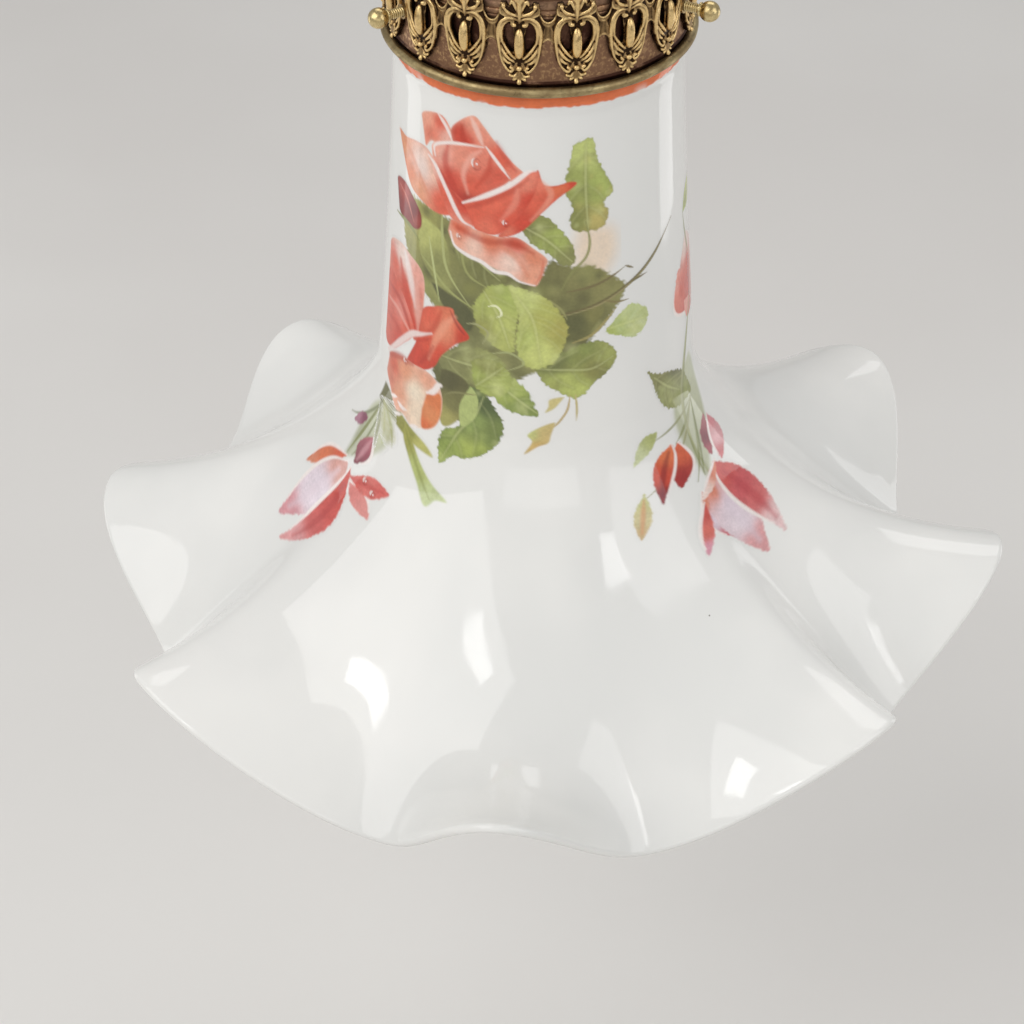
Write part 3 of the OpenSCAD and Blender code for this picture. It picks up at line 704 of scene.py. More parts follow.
def paint_twigs(p):
    """Stems, twigs and the small hanging bud."""
    for points, code, width in (
        ([(-38, 53), (-37.5, 64), (-35, 76), (-25, 88)], "#B5BA7C", 1.0),
        ([(-48, 75), (-41, 79), (-34, 84), (-22, 89)], "#A7AB6C", 1.0),
        ([(-44, 66), (-41, 78), (-38, 90)], "#C2C98B", 0.8),
        ([(-30, 60), (-27, 74), (-18, 79)], "#9FA266", 0.8),
        ([(-26, 95), (-22, 94.5), (-18, 97), (-20, 102)], "#A9A97A", 0.6),
        ([(-16, 105), (-10, 104), (-5, 108), (-12, 112)], "#ABB07A", 0.6),
        ([(10, 79), (20, 78), (27, 76), (33, 73.5)], "#7B6F4A", 0.9),
        ([(33, 73.5), (34.5, 74.4), (36.5, 75.5)], "#7B6F4A", 0.7),
        ([(8, 88), (20, 86), (30, 83), (40, 78.5), (47, 74), (53, 69), (58.5, 64.5)], "#756B46", 1.4),
        ([(9, 88.6), (22, 86.2), (32, 82.6), (41, 78.4), (50, 72)], "#A39A6B", 0.4),
        ([(35, 81), (39, 80.4), (43, 80)], "#756B46", 0.7),
        ([(24, 85), (29, 87), (34, 87.5)], "#8A7D52", 0.8),
        ([(12, 100), (19, 98), (25, 93), (29, 89)], "#A69B62", 1.0),
        ([(4, 82), (8, 86), (10, 90)], "#9B9A63", 0.7),
        ([(11, 122), (10, 128), (7, 133), (4, 136)], "#BFA976", 0.8),
        ([(13, 122), (13.4, 128), (13.2, 133)], "#C3B47C", 0.7),
        ([(-22, 124), (-30, 125.5), (-34, 128)], "#8C8A5C", 0.6),
    ):
        p.stroke(points, code, width, 0.95, 0.35)
    p.shape([(6, 133), (1, 134.5), (-3.5, 138), (-2, 141), (-4.5, 146), (0, 143), (3.5, 141.5), (4.5, 138)],
            [(-2, 138, "#C6CB84"), (2, 138, TAN), (0, 143, "#D3B070")], soft=0.5)
    p.shape([(9, 122.5), (4, 123), (3.5, 126), (2.5, 128.5), (6, 126.5)], [(5, 125, "#CFC285")], soft=0.5)


def paint_second_rose(p):
    """The rose at the left, seen from its side, and the dark bud above it."""
    p.shape([(-67, 53), (-60, 51), (-53, 55), (-49, 59), (-48.5, 64), (-52, 66.5), (-58, 66), (-64, 64)],
            [(-60, 55, "#B4514A"), (-54, 60, "#7A2A2C"), (-62, 62, "#93393A"), (-50, 63, "#A5483F")],
            rim=("#5E2224", 1, 0.5))
    p.stroke([(-64, 54), (-58, 57), (-53, 64)], "#D98476", 0.9, 0.7)
    p.stroke([(-66, 66), (-56, 66.5), (-49, 70)], "#8D9257", 1.4, 0.9)
    p.shape([(-72, 82), (-62, 77), (-54, 78.5), (-48, 81), (-45.5, 86), (-45.5, 96), (-46, 107), (-50, 112),
             (-60, 104), (-72, 98)],
            [(-60, 82, PALE), (-50, 84, "#E9A697"), (-66, 88, CORAL), (-53, 96, "#D9634C"),
             (-47.5, 98, "#E08C7C"), (-60, 96, "#D65A44"), (-51, 106, DEEP_RED)], rim=(PEACH, 0.8, 0.5))
    p.stroke([(-58, 79), (-55, 85), (-52, 92), (-50, 98)], ROSE_WHITE, 3.0, 0.75, 1.6)
    p.stroke([(-61, 84), (-57, 93), (-53, 102), (-51, 108)], DEEP_RED, 3.2, 0.75, 1.6)
    p.stroke([(-50, 87), (-49, 97), (-48, 107)], "#EBB0A2", 2.6, 0.7, 1.5)
    p.shape([(-46, 97), (-40, 93), (-36, 91.5), (-32, 91), (-31, 94), (-28, 97), (-25, 101), (-30, 105),
             (-36, 112), (-39, 118), (-44, 122), (-54, 125), (-48, 110)],
            [(-42, 97, CORAL), (-33, 93, "#E4805F"), (-35, 101, "#E88F6E"), (-27, 101, DEEP_RED),
             (-40, 112, "#D9553E"), (-48, 118, "#CF4A38"), (-38, 117, "#C94A36")],
            rim=("#C2412F", 0.9, 0.4))
    p.stroke([(-31, 94), (-35, 99), (-39, 107), (-42, 116)], "#F0A284", 2.2, 0.75, 1.4)
    p.stroke([(-33, 92), (-30, 97), (-27, 100)], DARK_RED, 0.8, 0.6, 0.6)
    p.stroke([(-37, 94), (-40, 102), (-45, 108)], "#C2412F", 1.6, 0.55, 1.2)
    p.stroke([(-40, 110), (-43, 116), (-47, 121)], "#B93E31", 1.4, 0.6, 1.0)
    p.shape([(-72, 94), (-62, 95), (-55, 100), (-50, 109), (-56, 117), (-64, 124), (-72, 122)],
            [(-66, 98, "#D8563F"), (-58, 104, "#E5887A"), (-54, 110, CORAL), (-66, 114, "#D9624E"),
             (-60, 117, DEEP_RED)])
    p.stroke([(-70, 99), (-61, 100), (-55, 105), (-52, 110)], "#B83A2C", 1.6, 0.7, 1.2)
    p.stroke([(-70, 105), (-62, 105), (-56, 108), (-51, 111)], "#EFA598", 1.2, 0.8, 0.9)
    p.stroke([(-70, 112), (-63, 112), (-58, 114)], "#C34536", 1.6, 0.6, 1.3)
    p.shape([(-66, 127), (-56, 123), (-50, 122.5), (-42, 122), (-37, 125), (-35, 131), (-35.5, 138),
             (-38, 144.5), (-43, 147), (-48, 148.5), (-53, 146.5), (-58, 147), (-63, 142), (-68, 136)],
            [(-62, 130, "#D65F42"), (-55, 128, "#E59A76"), (-48, 134, "#F3E3CC"), (-46, 142, "#F1DCC4"),
             (-58, 140, "#E6A282"), (-42, 124, "#E8A98D"), (-64, 138, "#D97C62")], rim=(PALE, 0.7, 0.4))
    p.shape([(-42, 131), (-38, 129), (-35.5, 130), (-35.5, 138), (-38, 144), (-43, 146.5), (-44, 139)],
            [(-38, 132, "#DE8050"), (-40, 140, "#E2905F"), (-42, 145, "#D9744A")], soft=0.6)
    p.stroke([(-66, 128), (-58, 124), (-50, 123)], "#B9402F", 2.4, 0.7, 1.4)
    p.stroke([(-42, 131), (-39, 129), (-37, 125.5), (-36, 125)], ROSE_WHITE, 2.0, 0.95, 0.7, taper=(0.3, 0.6))
    p.stroke([(-68, 127), (-62, 121.5), (-56, 115), (-51, 110), (-46, 107.6), (-41, 105)], "#F1DEDA", 2.2,
             0.95, 0.7)
    p.stroke([(-50, 112), (-45, 109.6), (-41, 107)], "#C23E2F", 0.9, 0.6, 0.7)
    for x, s in ((-60, 143), (-55.5, 148), (-46.5, 148)):
        p.stroke([(x - 1.8, s + 0.6), (x, s), (x + 1.8, s - 0.8)], ROSE_WHITE, 1.2, 0.95, 0.5)
    p.stroke([(-57, 143.6), (-54, 144.4), (-51.5, 144)], ROSE_WHITE, 1.3, 0.85, 0.6)
    p.dew(-54, 124, 0.9)


def paint_main_rose(p):
    """The large coral rose, from its outer petals to its heart and then its front petals."""
    p.shape([(-66, 33), (-60, 33), (-52, 31.5), (-45, 32.5), (-38, 41), (-33, 52), (-40, 55), (-50, 53),
             (-56, 50), (-61, 42)],
            [(-64, 35, "#E39A70"), (-56, 46, "#E2875F"), (-49, 40, PALE), (-42, 38, "#F0BFA9"),
             (-38, 50, CORAL), (-52, 50, "#E9A583")], rim=("#D9735A", 0.7, 0.35))
    p.stroke([(-66, 33), (-57, 37), (-50, 44), (-42, 53)], "#E08C6C", 1.4, 0.5, 1.2)
    p.shape([(-50, 20), (-46, 17.3), (-39, 16.5), (-35, 20), (-33, 25), (-38, 28), (-44, 28), (-47, 31),
             (-48.5, 26)],
            [(-46, 20, "#EDA48B"), (-40, 19, CORAL), (-44, 26, "#E37E66"), (-36, 25, "#F1B7A6")],
            rim=(PEACH, 0.7, 0.6))
    p.stroke([(-41, 16.5), (-37, 20), (-33.5, 25.5)], ROSE_WHITE, 1.2, 0.85, 0.5)
    p.shape([(-35, 21), (-31, 16), (-25, 12.8), (-21, 16), (-17, 20.5), (-10, 28), (-5, 33), (-10, 36),
             (-24, 27), (-33, 28)],
            [(-32, 21, "#C9452F"), (-25, 15, "#F0A088"), (-22, 20, SALMON), (-14, 27, CORAL),
             (-8, 33, "#E8836B"), (-28, 24, DEEP_RED)], rim=(PEACH, 0.6, 0.5))
    p.stroke([(-26, 14), (-23.5, 18.5), (-21, 24)], "#F6CFC2", 1.6, 0.75, 1.0)
    p.stroke([(-30, 18), (-29, 23), (-26, 26)], "#B83724", 1.8, 0.6, 1.2)
    p.stroke([(-16, 21), (-13, 26), (-9, 31)], "#C8412F", 1.5, 0.5, 1.1)
    p.shape([(-44, 30), (-41, 27), (-35, 25.5), (-28, 24), (-20, 23.6), (-15, 29), (-10.5, 34.5), (-18, 41),
             (-28, 47.5), (-36, 44), (-43, 36)],
            [(-38, 30, "#F0AE9C"), (-30, 30, SALMON), (-20, 27, "#E78670"), (-26, 40, CORAL),
             (-34, 40, "#D8533F"), (-28, 46, "#A93429"), (-15, 34, "#D9604B")], rim=(PEACH, 0.55, 0.45))
    p.stroke([(-36, 27), (-37, 34), (-33, 42), (-29, 46)], "#C03D2E", 2.2, 0.65, 1.5)
    p.stroke([(-22, 25.5), (-26, 29), (-29, 36), (-27, 43)], "#F3B6A5", 1.6, 0.6, 1.2)
    p.stroke([(-18, 26), (-19, 33), (-24, 40)], "#C5432F", 1.6, 0.6, 1.1)
    p.stroke([(-42, 33), (-42.3, 29), (-36, 26), (-29, 24.6), (-21, 24)], ROSE_WHITE, 1.0, 0.9, 0.45)
    p.stroke([(-20, 23.6), (-15.5, 28.8), (-11, 34.3)], ROSE_WHITE, 1.0, 0.9, 0.45)
    p.shape([(-46, 34), (-42, 35), (-36, 42), (-28, 47), (-25, 52), (-25, 56), (-33, 55), (-37, 50)],
            [(-43, 37, "#F1B9A8"), (-36, 45, CORAL), (-29, 50, DEEP_RED), (-30, 54, "#E88D77")])
    p.stroke([(-45.5, 34), (-41.5, 37), (-36, 44.5), (-32.5, 50), (-29, 54.3), (-25, 55.5)], ROSE_WHITE,
             1.5, 0.9, 0.6)
    p.stroke([(-39, 38), (-33, 45), (-28, 49)], "#B63529", 1.3, 0.6, 0.9)
    p.shape([(-1, 30.5), (1.5, 36), (6, 36.6), (11, 35.6), (13.5, 36.8), (7, 41.5), (1, 47), (-7, 55),
             (-15, 57.5), (-9, 50), (-4, 42)],
            [(0, 34, "#E8826A"), (8, 38, "#E4764F"), (12.5, 36.8, DEEP_RED), (2, 43, CORAL),
             (-6, 52, "#D24B37"), (-12, 56, "#E07A61")], rim=("#C4402F", 0.8, 0.45))
    p.stroke([(1, 35), (4, 39), (3, 43), (-3, 50)], "#F0A58C", 1.6, 0.6, 1.1)
    p.shape([(-28.5, 47), (-20, 42.5), (-11, 37), (-5, 31.8), (-1, 30.8), (-0.5, 34), (-2, 40), (-6, 47),
             (-11, 53), (-16, 57), (-24, 56)],
            [(-24, 50, CORAL), (-16, 44, "#E66E55"), (-5, 36, "#EC8A72"), (-3, 42, DEEP_RED),
             (-12, 50, "#DA5A44"), (-20, 55, "#E2735B")], rim=("#CC4836", 0.8, 0.3))
    p.stroke([(-27, 48.5), (-19, 44.3), (-10, 39), (-4, 34)], "#B93A2B", 1.6, 0.5, 1.2)
    p.stroke([(-29, 47.2), (-20, 42.4), (-11, 37), (-4.5, 31.6), (-1.5, 30.8)], ROSE_WHITE, 1.7, 0.95, 0.55)
    p.stroke([(-8, 38.5), (-9, 44), (-14, 51)], "#F3A08A", 1.8, 0.5, 1.3)
    p.shape([(-34, 55), (-26, 56), (-15, 57.5), (-8, 57), (-2, 61), (3, 65.5), (1.5, 70), (-1, 76),
             (-7, 74), (-13, 71.5), (-21, 68.5), (-31, 65.5), (-35, 60)],
            [(-30, 57, "#D9603F"), (-18, 60, "#E07A58"), (-8, 59, "#D2523A"), (-2, 64, "#E08A6A"),
             (-24, 63, "#F2CBB9"), (-10, 67, "#F4D5C6"), (-1, 72, "#E9A184"), (-32, 62, "#EBA88E")],
            rim=(PEACH, 0.8, 0.4))
    p.stroke([(-31, 57.5), (-20, 60), (-9, 59.5), (-2, 63)], "#B5402C", 1.8, 0.55, 1.3)
    p.stroke([(-14, 61), (-8, 65), (-4, 72)], "#DE8566", 1.8, 0.55, 1.3)
    p.stroke([(-34, 60), (-32, 65), (-26, 67.5), (-21, 68.6), (-16, 71.4), (-11, 71.8), (-7, 74.4),
              (-1.5, 75.8)], ROSE_WHITE, 1.3, 0.95, 0.45)
    p.stroke([(1.5, 66), (1, 71), (-1, 75)], "#D8755A", 0.9, 0.7, 0.6)
    p.dew(-23.5, 31, 1.7)
    p.dew(-12, 52, 0.9)
    p.dew(-30, 61, 0.8)


def paint_blades(p):
    """The narrow leaves under the left rose."""
    p.shape([(-68, 142), (-56, 146), (-48, 149), (-40, 152), (-36, 155.5), (-42, 155), (-50, 153.5),
             (-60, 151), (-70, 150)], [(-64, 147, "#71704A"), (-50, 151, "#9A9A58"), (-40, 154, "#C0BE74")],
            soft=0.7)
    p.shape([(-51, 149), (-46, 153), (-40, 159.5), (-34, 165), (-27.5, 169.5), (-31, 170.5), (-34, 174),
             (-39, 167), (-45, 160), (-50, 154)],
            [(-47, 154, "#A8A75E"), (-40, 162, "#B9C27C"), (-33, 170, "#C5D09B")], soft=0.6)
    p.stroke([(-50, 151), (-42, 160), (-33, 171)], "#8D9352", 0.8, 0.5, 0.6)
    p.shape([(-66, 148), (-58, 152), (-53, 158), (-56, 161), (-64, 156)], [(-58, 155, "#B7B67C")], soft=1.6,
            opacity=0.8)
    p.stroke([(-68, 150), (-64, 158), (-61, 166)], "#7C7D50", 1.6, 0.8, 0.7)


def blade(base, tip, width, lean=0.0, broad=0.5):
    """A petal's outline, middle line and two edges. broad is the share of its length where it is broadest."""
    t = np.linspace(0, 1, 8)[:, None]
    along = np.subtract(tip, base)
    across = np.array([along[1], -along[0]]) / np.hypot(*along)
    middle = base + t * along + 4 * lean * t * (1 - t) * across
    half = width / 2 * np.sin(np.pi * t ** (math.log(0.5) / math.log(broad)))
    right, left = middle + half * across, middle - half * across
    return np.vstack([right, left[-2:0:-1]]), middle, right, left


def paint_petal(p, base, tip, width, codes, lean=0.0, broad=0.5, shadow=None, edge=0):
    """A petal or bud, coloured from base to tip, with a soft shadow and a white edge on side 1 or -1."""
    outline, middle, right, left = blade(base, tip, width, lean, broad)
    places = np.linspace(1, len(middle) - 2, len(codes)).round().astype(int)
    line = p.shape(outline, [(*middle[i], code) for i, code in zip(places, codes)], soft=0.45, ragged=0.25)
    if shadow:
        p.stroke(middle[1:-1], shadow, width * 0.2, 0.55, width * 0.12, line)
    if edge:
        p.stroke((right if edge > 0 else left)[:-1], ROSE_WHITE, 1.1, 0.95, 0.5)


def paint_haze(p, base, tip, width, codes):
    """A soft wash of leaf green behind the stems."""
    outline, middle, _, _ = blade(base, tip, width, broad=0.4)
    p.shape(outline, [(*middle[2], codes[0]), (*middle[5], codes[1])], soft=1.6, opacity=0.7)


def paint_stems(p, root, stems):
    """Stems that fan out from one place, each bowed a little sideways."""
    for tip, bow, code, width in stems:
        _, middle, _, _ = blade(root, tip, 1, bow)
        p.stroke(middle, code, width, 0.85, 0.5)


def paint_right_spray(p):
    """The right spray: petals at the edge, a leaf, stems, two green buds, a red bud and an open flower."""
    paint_petal(p, (78, 112), (88, 82), 18, (DEEP_RED, CORAL, PALE), lean=-2, shadow="#B93A2B")
    paint_petal(p, (76, 113), (63, 90), 18, ("#C94A3E", "#E07B6A", "#EBA091"), lean=2, broad=0.55,
                shadow=DEEP_RED, edge=1)
    paint_petal(p, (77, 113), (73, 79), 19, (DEEP_RED, "#D2564A", CORAL, PALE), broad=0.62,
                shadow="#B93A2B", edge=-1)
    paint_petal(p, (80, 113), (68, 106), 8, ("#D2564A", "#EBA091"), lean=2)
    paint_petal(p, (70, 69), (82, 59), 9, (LEAF, LIGHT_LEAF), lean=-1, shadow=OLIVE)
    paint_haze(p, (70, 130), (58, 178), 22, ("#AFB685", "#A3A878"))
    outline, middle, _, _ = blade((42, 122), (69, 146), 15, lean=-2, broad=0.6)
    p.leaf(outline, middle[1:-1:2],
           [(48, 125, "#8F8F5C"), (58, 129, "#6E7048"), (54, 136, "#A5AA6E"), (65, 142, "#9BA264")])
    paint_stems(p, (77, 90), (((70, 69), 1, "#93966A", 1.1),))
    paint_stems(p, (76, 107), (((57, 176), -4, "#8C9160", 1.5), ((59, 178), -6, "#A9AC80", 1.2)))
    paint_stems(p, (67, 148), (
        ((53, 176), 2, "#8C9060", 1.1), ((57, 175), 1, "#79804F", 0.9), ((51, 158), 1, "#93976A", 1.2),
        ((41, 152), 1, "#9C9D77", 0.8), ((33, 171), 3, "#A3A27A", 0.8),
    ))
    paint_petal(p, (44, 149), (32, 158), 6, ("#B4BA7C", "#D2D8AC"), lean=-1, broad=0.4)
    paint_petal(p, (33, 169), (28, 185), 6, ("#C9C88C", "#D3C99A", "#CBAE80"), shadow="#D98B5E")
    paint_petal(p, (52, 158), (46, 174), 12, ("#DB6A4A", "#A83A38"), lean=1, edge=1)
    paint_petal(p, (49, 157), (38, 176), 9, ("#E27A50", "#D2533F", "#8A2D33"), lean=-2, broad=0.4,
                shadow="#7A2630", edge=1)
    paint_petal(p, (71, 159), (64, 173), 7, ("#9C4148", "#7C2B38", "#A8505A"), lean=-1)
    paint_petal(p, (73, 161), (67, 178), 9, ("#D99096", "#E5B4B8", "#D4777A"), lean=2, edge=-1)
    paint_petal(p, (52, 180), (54, 202), 8, ("#E08B72", "#E3D3DE", "#CE7078"), lean=-1, edge=-1)
    paint_petal(p, (59, 176), (60, 216), 16, ("#DE8468", "#E6D6E0", "#EBDDE4", "#DFA3A4"), broad=0.4,
                shadow="#E3D3DE")
    paint_petal(p, (62, 175), (67, 217), 11, ("#CF5B55", "#CB5E62", "#D3706F", "#EBCBCB"), lean=3,
                broad=0.4, shadow="#BE4A50", edge=-1)
    paint_petal(p, (51, 184), (43, 202), 5, ("#CC5850", "#DC7466", "#DDA0B0"), edge=-1)
    paint_petal(p, (64, 175), (50, 183), 4, ("#E08B72", PALE), lean=1, edge=-1)


def paint_left_spray(p):
    """The left spray: stems, two crimson buds and an open flower with a small petal beside it."""
    paint_haze(p, (-60, 147), (-71, 180), 18, ("#B4BA8A", "#9CA273"))
    paint_stems(p, (-66, 149), (
        ((-71, 178), -1, "#8C9160", 1.4), ((-68, 177), 1, "#79804F", 0.9), ((-84, 170), 2, "#8A9070", 1.1),
        ((-63, 165), 1, "#A9AC80", 1.1), ((-53, 161), 2, "#A6AD76", 1.3), ((-58, 163), 1, "#B6BB88", 1.0),
    ))
    paint_petal(p, (-71, 161), (-79, 169), 5, ("#8F5468", "#B58294"))
    paint_petal(p, (-63, 164), (-65, 178), 9, ("#A8505E", "#8E3546", "#7E2C3C"), shadow="#D79AA2", edge=1)
    paint_petal(p, (-70, 179), (-83, 200), 7, ("#D9694C", "#DE7A54", "#D98A6C"), lean=-2, edge=-1)
    paint_petal(p, (-68, 180), (-75, 219), 15, ("#DFA79C", "#E6DAE4", "#EADDE6", "#D99AA0"), broad=0.4,
                shadow="#E4D2DC", edge=-1)
    paint_petal(p, (-65, 180), (-69, 223), 10, ("#C94A3E", "#D3605A", "#D46A66", "#E2A2A2"), lean=5,
                shadow="#B84A4A", edge=-1)
    paint_petal(p, (-62, 184), (-48, 190), 7, ("#E08C86", "#E29A94"), lean=1, edge=1)
    paint_petal(p, (-64, 183), (-46, 177), 8, ("#D8655C", "#DD7F78", "#D9706A"), broad=0.6, shadow="#C4524E")
    p.dew(-56, 179, 0.9)
    p.dew(-51, 181, 0.9)


def paint_band(p):
    """The orange line painted round the top of the neck, with its brushed lower edge."""
    lower = 7.4 + 0.8 * (cloud(p.x, 0 * p.s, 9, 5) - 0.5) + 0.4 * (cloud(p.x, 0 * p.s, 2.2, 6) - 0.5)
    amount = ease(lower - p.s, -0.25, 0.45)
    streak = cloud(p.x, p.s * 6, 9, 7)[..., None]
    colour = tone("#E57645") * (0.92 + 0.16 * streak)
    thin = ease(cloud(p.x, p.s, 16, 8), 0.72, 1.0) * ease(p.s, 4.5, 7.5) * 0.5
    everywhere = (slice(None), slice(None))
    p.lay(everywhere, np.clip(colour, 0, 1), amount * (1 - thin))


def make_skin(name, painting, turn, material, rows=slice(None)):
    """The painted cells as a thin closed shell on the glass, turned round the lamp by an angle."""
    x, s, cover, colour = (a[rows] for a in (painting.x, painting.s, painting.cover, painting.colour))
    used = cover > 0.02
    cells = used[:-1, :-1] | used[1:, :-1] | used[:-1, 1:] | used[1:, 1:]
    i, j = np.nonzero(cells)
    columns = x.shape[1]
    corner = i * columns + j
    quads = np.stack([corner, corner + 1, corner + columns + 1, corner + columns], -1)
    kept, top = np.unique(quads, return_inverse=True)
    top = top.reshape(-1, 4)
    count = len(kept)
    edges = np.concatenate([top[:, [k, (k + 1) % 4]] for k in range(4)])
    _, back, repeats = np.unique(np.sort(edges, 1), axis=0, return_inverse=True, return_counts=True)
    rim = edges[repeats[back.ravel()] == 1]
    walls = np.stack([rim[:, 1], rim[:, 0], rim[:, 0] + count, rim[:, 1] + count], -1)
    faces = np.concatenate([top, top[:, ::-1] + count, walls])
    angle = np.degrees(x.ravel()[kept] / PAINT_R) + turn
    points, normal, _ = glass_frame(angle, s.ravel()[kept])
    points = np.concatenate([points + SKIN_OVER * normal, points - SKIN_UNDER * normal])
    mesh = new_mesh(name, points, faces, material)
    if mesh.polygons[0].normal.dot(normal[top[0, 0]].tolist()) < 0:
        mesh.flip_normals()
    mesh.normals_split_custom_set_from_vertices(np.concatenate([normal, -normal]).tolist())
    rgba = np.ones((count, 4))
    rgba[:, :3] = colour.reshape(-1, 3)[kept]
    enamel = mesh.attributes.new("enamel", "FLOAT_COLOR", "POINT")
    enamel.data.foreach_set("color", np.tile(rgba, (2, 1)).ravel())
    store(mesh, "cover", np.tile(cover.ravel()[kept], 2))
    place(add_object(name, mesh), "root", "opal_glass")


def make_painting(material):
    """The bouquet and the sprays on the front, and the bouquet again on the back."""
    bouquet = Painting((-72, 62), (10, 176))
    for layer in (paint_blades, paint_foliage, paint_leaves, paint_second_rose, paint_twigs, paint_main_rose):
        layer(bouquet)
    right = Painting((24, 94), (55, 220))
    paint_right_spray(right)
    left = Painting((-92, -42), (144, 226))
    paint_left_spray(left)
    band = Painting((0, 2 * np.pi * PAINT_R + PAINT_STEP / 2), (-1, 9.5))
    paint_band(band)
    split = int((78 - bouquet.s_line[0]) / PAINT_STEP)
    for side, turn in (("front", 0), ("back", 180)):
        make_skin(f"painted_rose_{side}", bouquet, turn, material, slice(0, split + 1))
        make_skin(f"painted_leaves_{side}", bouquet, turn, material, slice(split, None))
    make_skin("painted_spray_right", right, 0, material)
    make_skin("painted_spray_left", left, 0, material)
    make_skin("painted_neck_line", band, 0, material)


# ---- the gallery ----

CARTOUCHES = 18
FIRST_CARTOUCHE = 12.5  # its angle from the front
HALF_PITCH = 180 / CARTOUCHES
PLATE_T = 1.3
VOXEL = 0.24
# Half outlines of the plate and of its heart-shaped opening: mm across, height
PLATE = [(0, 3.5), (1.6, 4.2), (3.2, 5.8), (4, 8), (5.4, 9.4), (6.2, 11.6), (6.8, 14.6), (7.2, 17.4),
         (7.9, 18.9), (9.8, 19.5), (9.8, 25.6), (7.9, 26.2), (6.8, 28.2), (6.4, 32.4), (4.6, 32.9),
         (3.4, 30.8), (2.6, 33), (2.4, 36.4), (0, 38.3)]
HEART = [(2, 14.6), (3.7, 16.4), (5, 19.2), (5.2, 22), (4.4, 24.4), (3.2, 24.9), (2.3, 23.6), (1.9, 21),
         (1.8, 17)]
# Strokes of one half of the casting: mm across, height, how far out, half thickness
HALF_STROKES = [
    # the rim line of the cartouche, from the heart's cusp to the volute at the foot
    [(0.3, 26.1, 1.5, 0.3), (1.6, 27.0, 1.7, 0.4), (3.6, 27.3, 1.9, 0.5), (5.7, 26.1, 2.0, 0.55),
     (6.8, 23.6, 2.1, 0.6), (7.0, 20.6, 2.0, 0.6), (6.7, 17.4, 1.9, 0.48), (6.3, 14.2, 1.8, 0.42),
     (5.8, 11.8, 1.8, 0.4), (4.9, 9.8, 1.8, 0.42), (3.7, 8.3, 1.9, 0.48), (2.6, 7.7, 1.9, 0.42),
     (2.0, 8.6, 1.9, 0.35), (2.7, 9.4, 2.1, 0.6)],
    # the scroll inside it, from its own volute beside the spindle
    [(1.5, 24.9, 2.1, 0.72), (2.2, 24.3, 1.8, 0.3), (2.6, 25.2, 1.8, 0.34), (1.9, 26.2, 1.7, 0.3)],
    [(2.0, 26.2, 1.6, 0.3), (4.0, 26.0, 1.7, 0.5), (5.6, 24.2, 1.8, 0.75), (6.0, 21.4, 1.8, 0.75),
     (5.6, 18.6, 1.7, 0.5), (4.8, 16.6, 1.6, 0.25)],
    # acanthus ribs that sweep down and in under the opening
    [(6.3, 20.4, 1.4, 0.25), (4.9, 17.2, 1.7, 0.45), (3.1, 14.6, 1.9, 0.55), (1.3, 12.5, 1.7, 0.35)],
    [(6.5, 17.6, 1.5, 0.3), (5.0, 14.6, 1.9, 0.5), (3.4, 12.6, 1.9, 0.5), (1.7, 11.1, 1.5, 0.3)],
    [(6.2, 14.8, 1.5, 0.25), (5.0, 12.4, 1.8, 0.45), (3.8, 11.0, 1.8, 0.45), (2.4, 10.3, 1.4, 0.25)],
    [(7.3, 22.6, 1.3, 0.3), (7.5, 19.6, 1.4, 0.32), (7.1, 16.4, 1.3, 0.3), (6.8, 13.6, 1.2, 0.25)],
    # the shell at the foot
    [(0.5, 7.3, 1.5, 0.35), (1.8, 6.1, 1.8, 0.45), (3.1, 6.4, 1.8, 0.5)],
    [(0.3, 6.8, 1.5, 0.35), (1.1, 5.3, 1.8, 0.42), (1.9, 4.8, 1.8, 0.46)],
    [(0.9, 10.7, 1.5, 0.3), (1.5, 9.6, 1.6, 0.3), (1.3, 8.2, 1.5, 0.3)],
    # the horn above the shoulder, with a leaf behind it
    [(0.2, 27.7, 1.6, 0.4), (1.9, 28.6, 1.9, 0.55), (3.6, 29.4, 2.1, 0.6), (4.8, 30.6, 2.0, 0.5),
     (5.1, 31.7, 2.2, 0.82)],
    [(1.2, 28.2, 1.0, 0.7), (3.4, 28.5, 1.2, 0.9), (5.2, 29.0, 1.2, 0.8), (6.0, 30.4, 1.2, 0.5),
     (6.1, 32.2, 1.3, 0.3)],
    [(2.4, 27.9, 1.5, 0.3), (4.6, 28.0, 1.8, 0.4), (6.2, 28.8, 1.6, 0.35), (6.5, 30.4, 1.5, 0.25)],
    # the palmette on top
    [(0.4, 28.6, 1.5, 0.35), (1.3, 31.4, 1.9, 0.5), (2.4, 33.4, 1.8, 0.5), (3.0, 32.2, 1.8, 0.4)],
    [(0.3, 31.4, 1.5, 0.35), (1.2, 34.2, 1.9, 0.5), (2.0, 36.2, 1.7, 0.5)],
    # the scalloped double edge of the arm, its arch and its two ribs
    [(6.6, 28.8, 1.3, 0.25), (7.3, 27.1, 1.4, 0.3), (8.3, 26.0, 1.4, 0.3), (9.7, 25.6, 1.4, 0.3)],
    [(7.1, 26.3, 1.2, 0.2), (7.9, 25.2, 1.35, 0.24), (8.8, 24.6, 1.35, 0.24), (9.7, 24.5, 1.35, 0.24)],
    [(7.0, 16.6, 1.2, 0.25), (7.7, 18.6, 1.35, 0.28), (8.7, 19.5, 1.35, 0.28), (9.7, 19.7, 1.35, 0.28)],
    [(8.2, 20.2, 1.2, 0.2), (8.0, 22.2, 1.3, 0.24), (8.3, 24.2, 1.2, 0.2)],
]
SPINDLE = [(0, 12.6, 1.5, 0.3), (0, 13.5, 1.9, 1.1), (0, 15.6, 2.2, 1.6), (0, 18.6, 2.3, 1.72),
           (0, 21.4, 2.1, 1.5), (0, 23.0, 1.8, 1.0), (0, 23.7, 1.5, 0.3)]
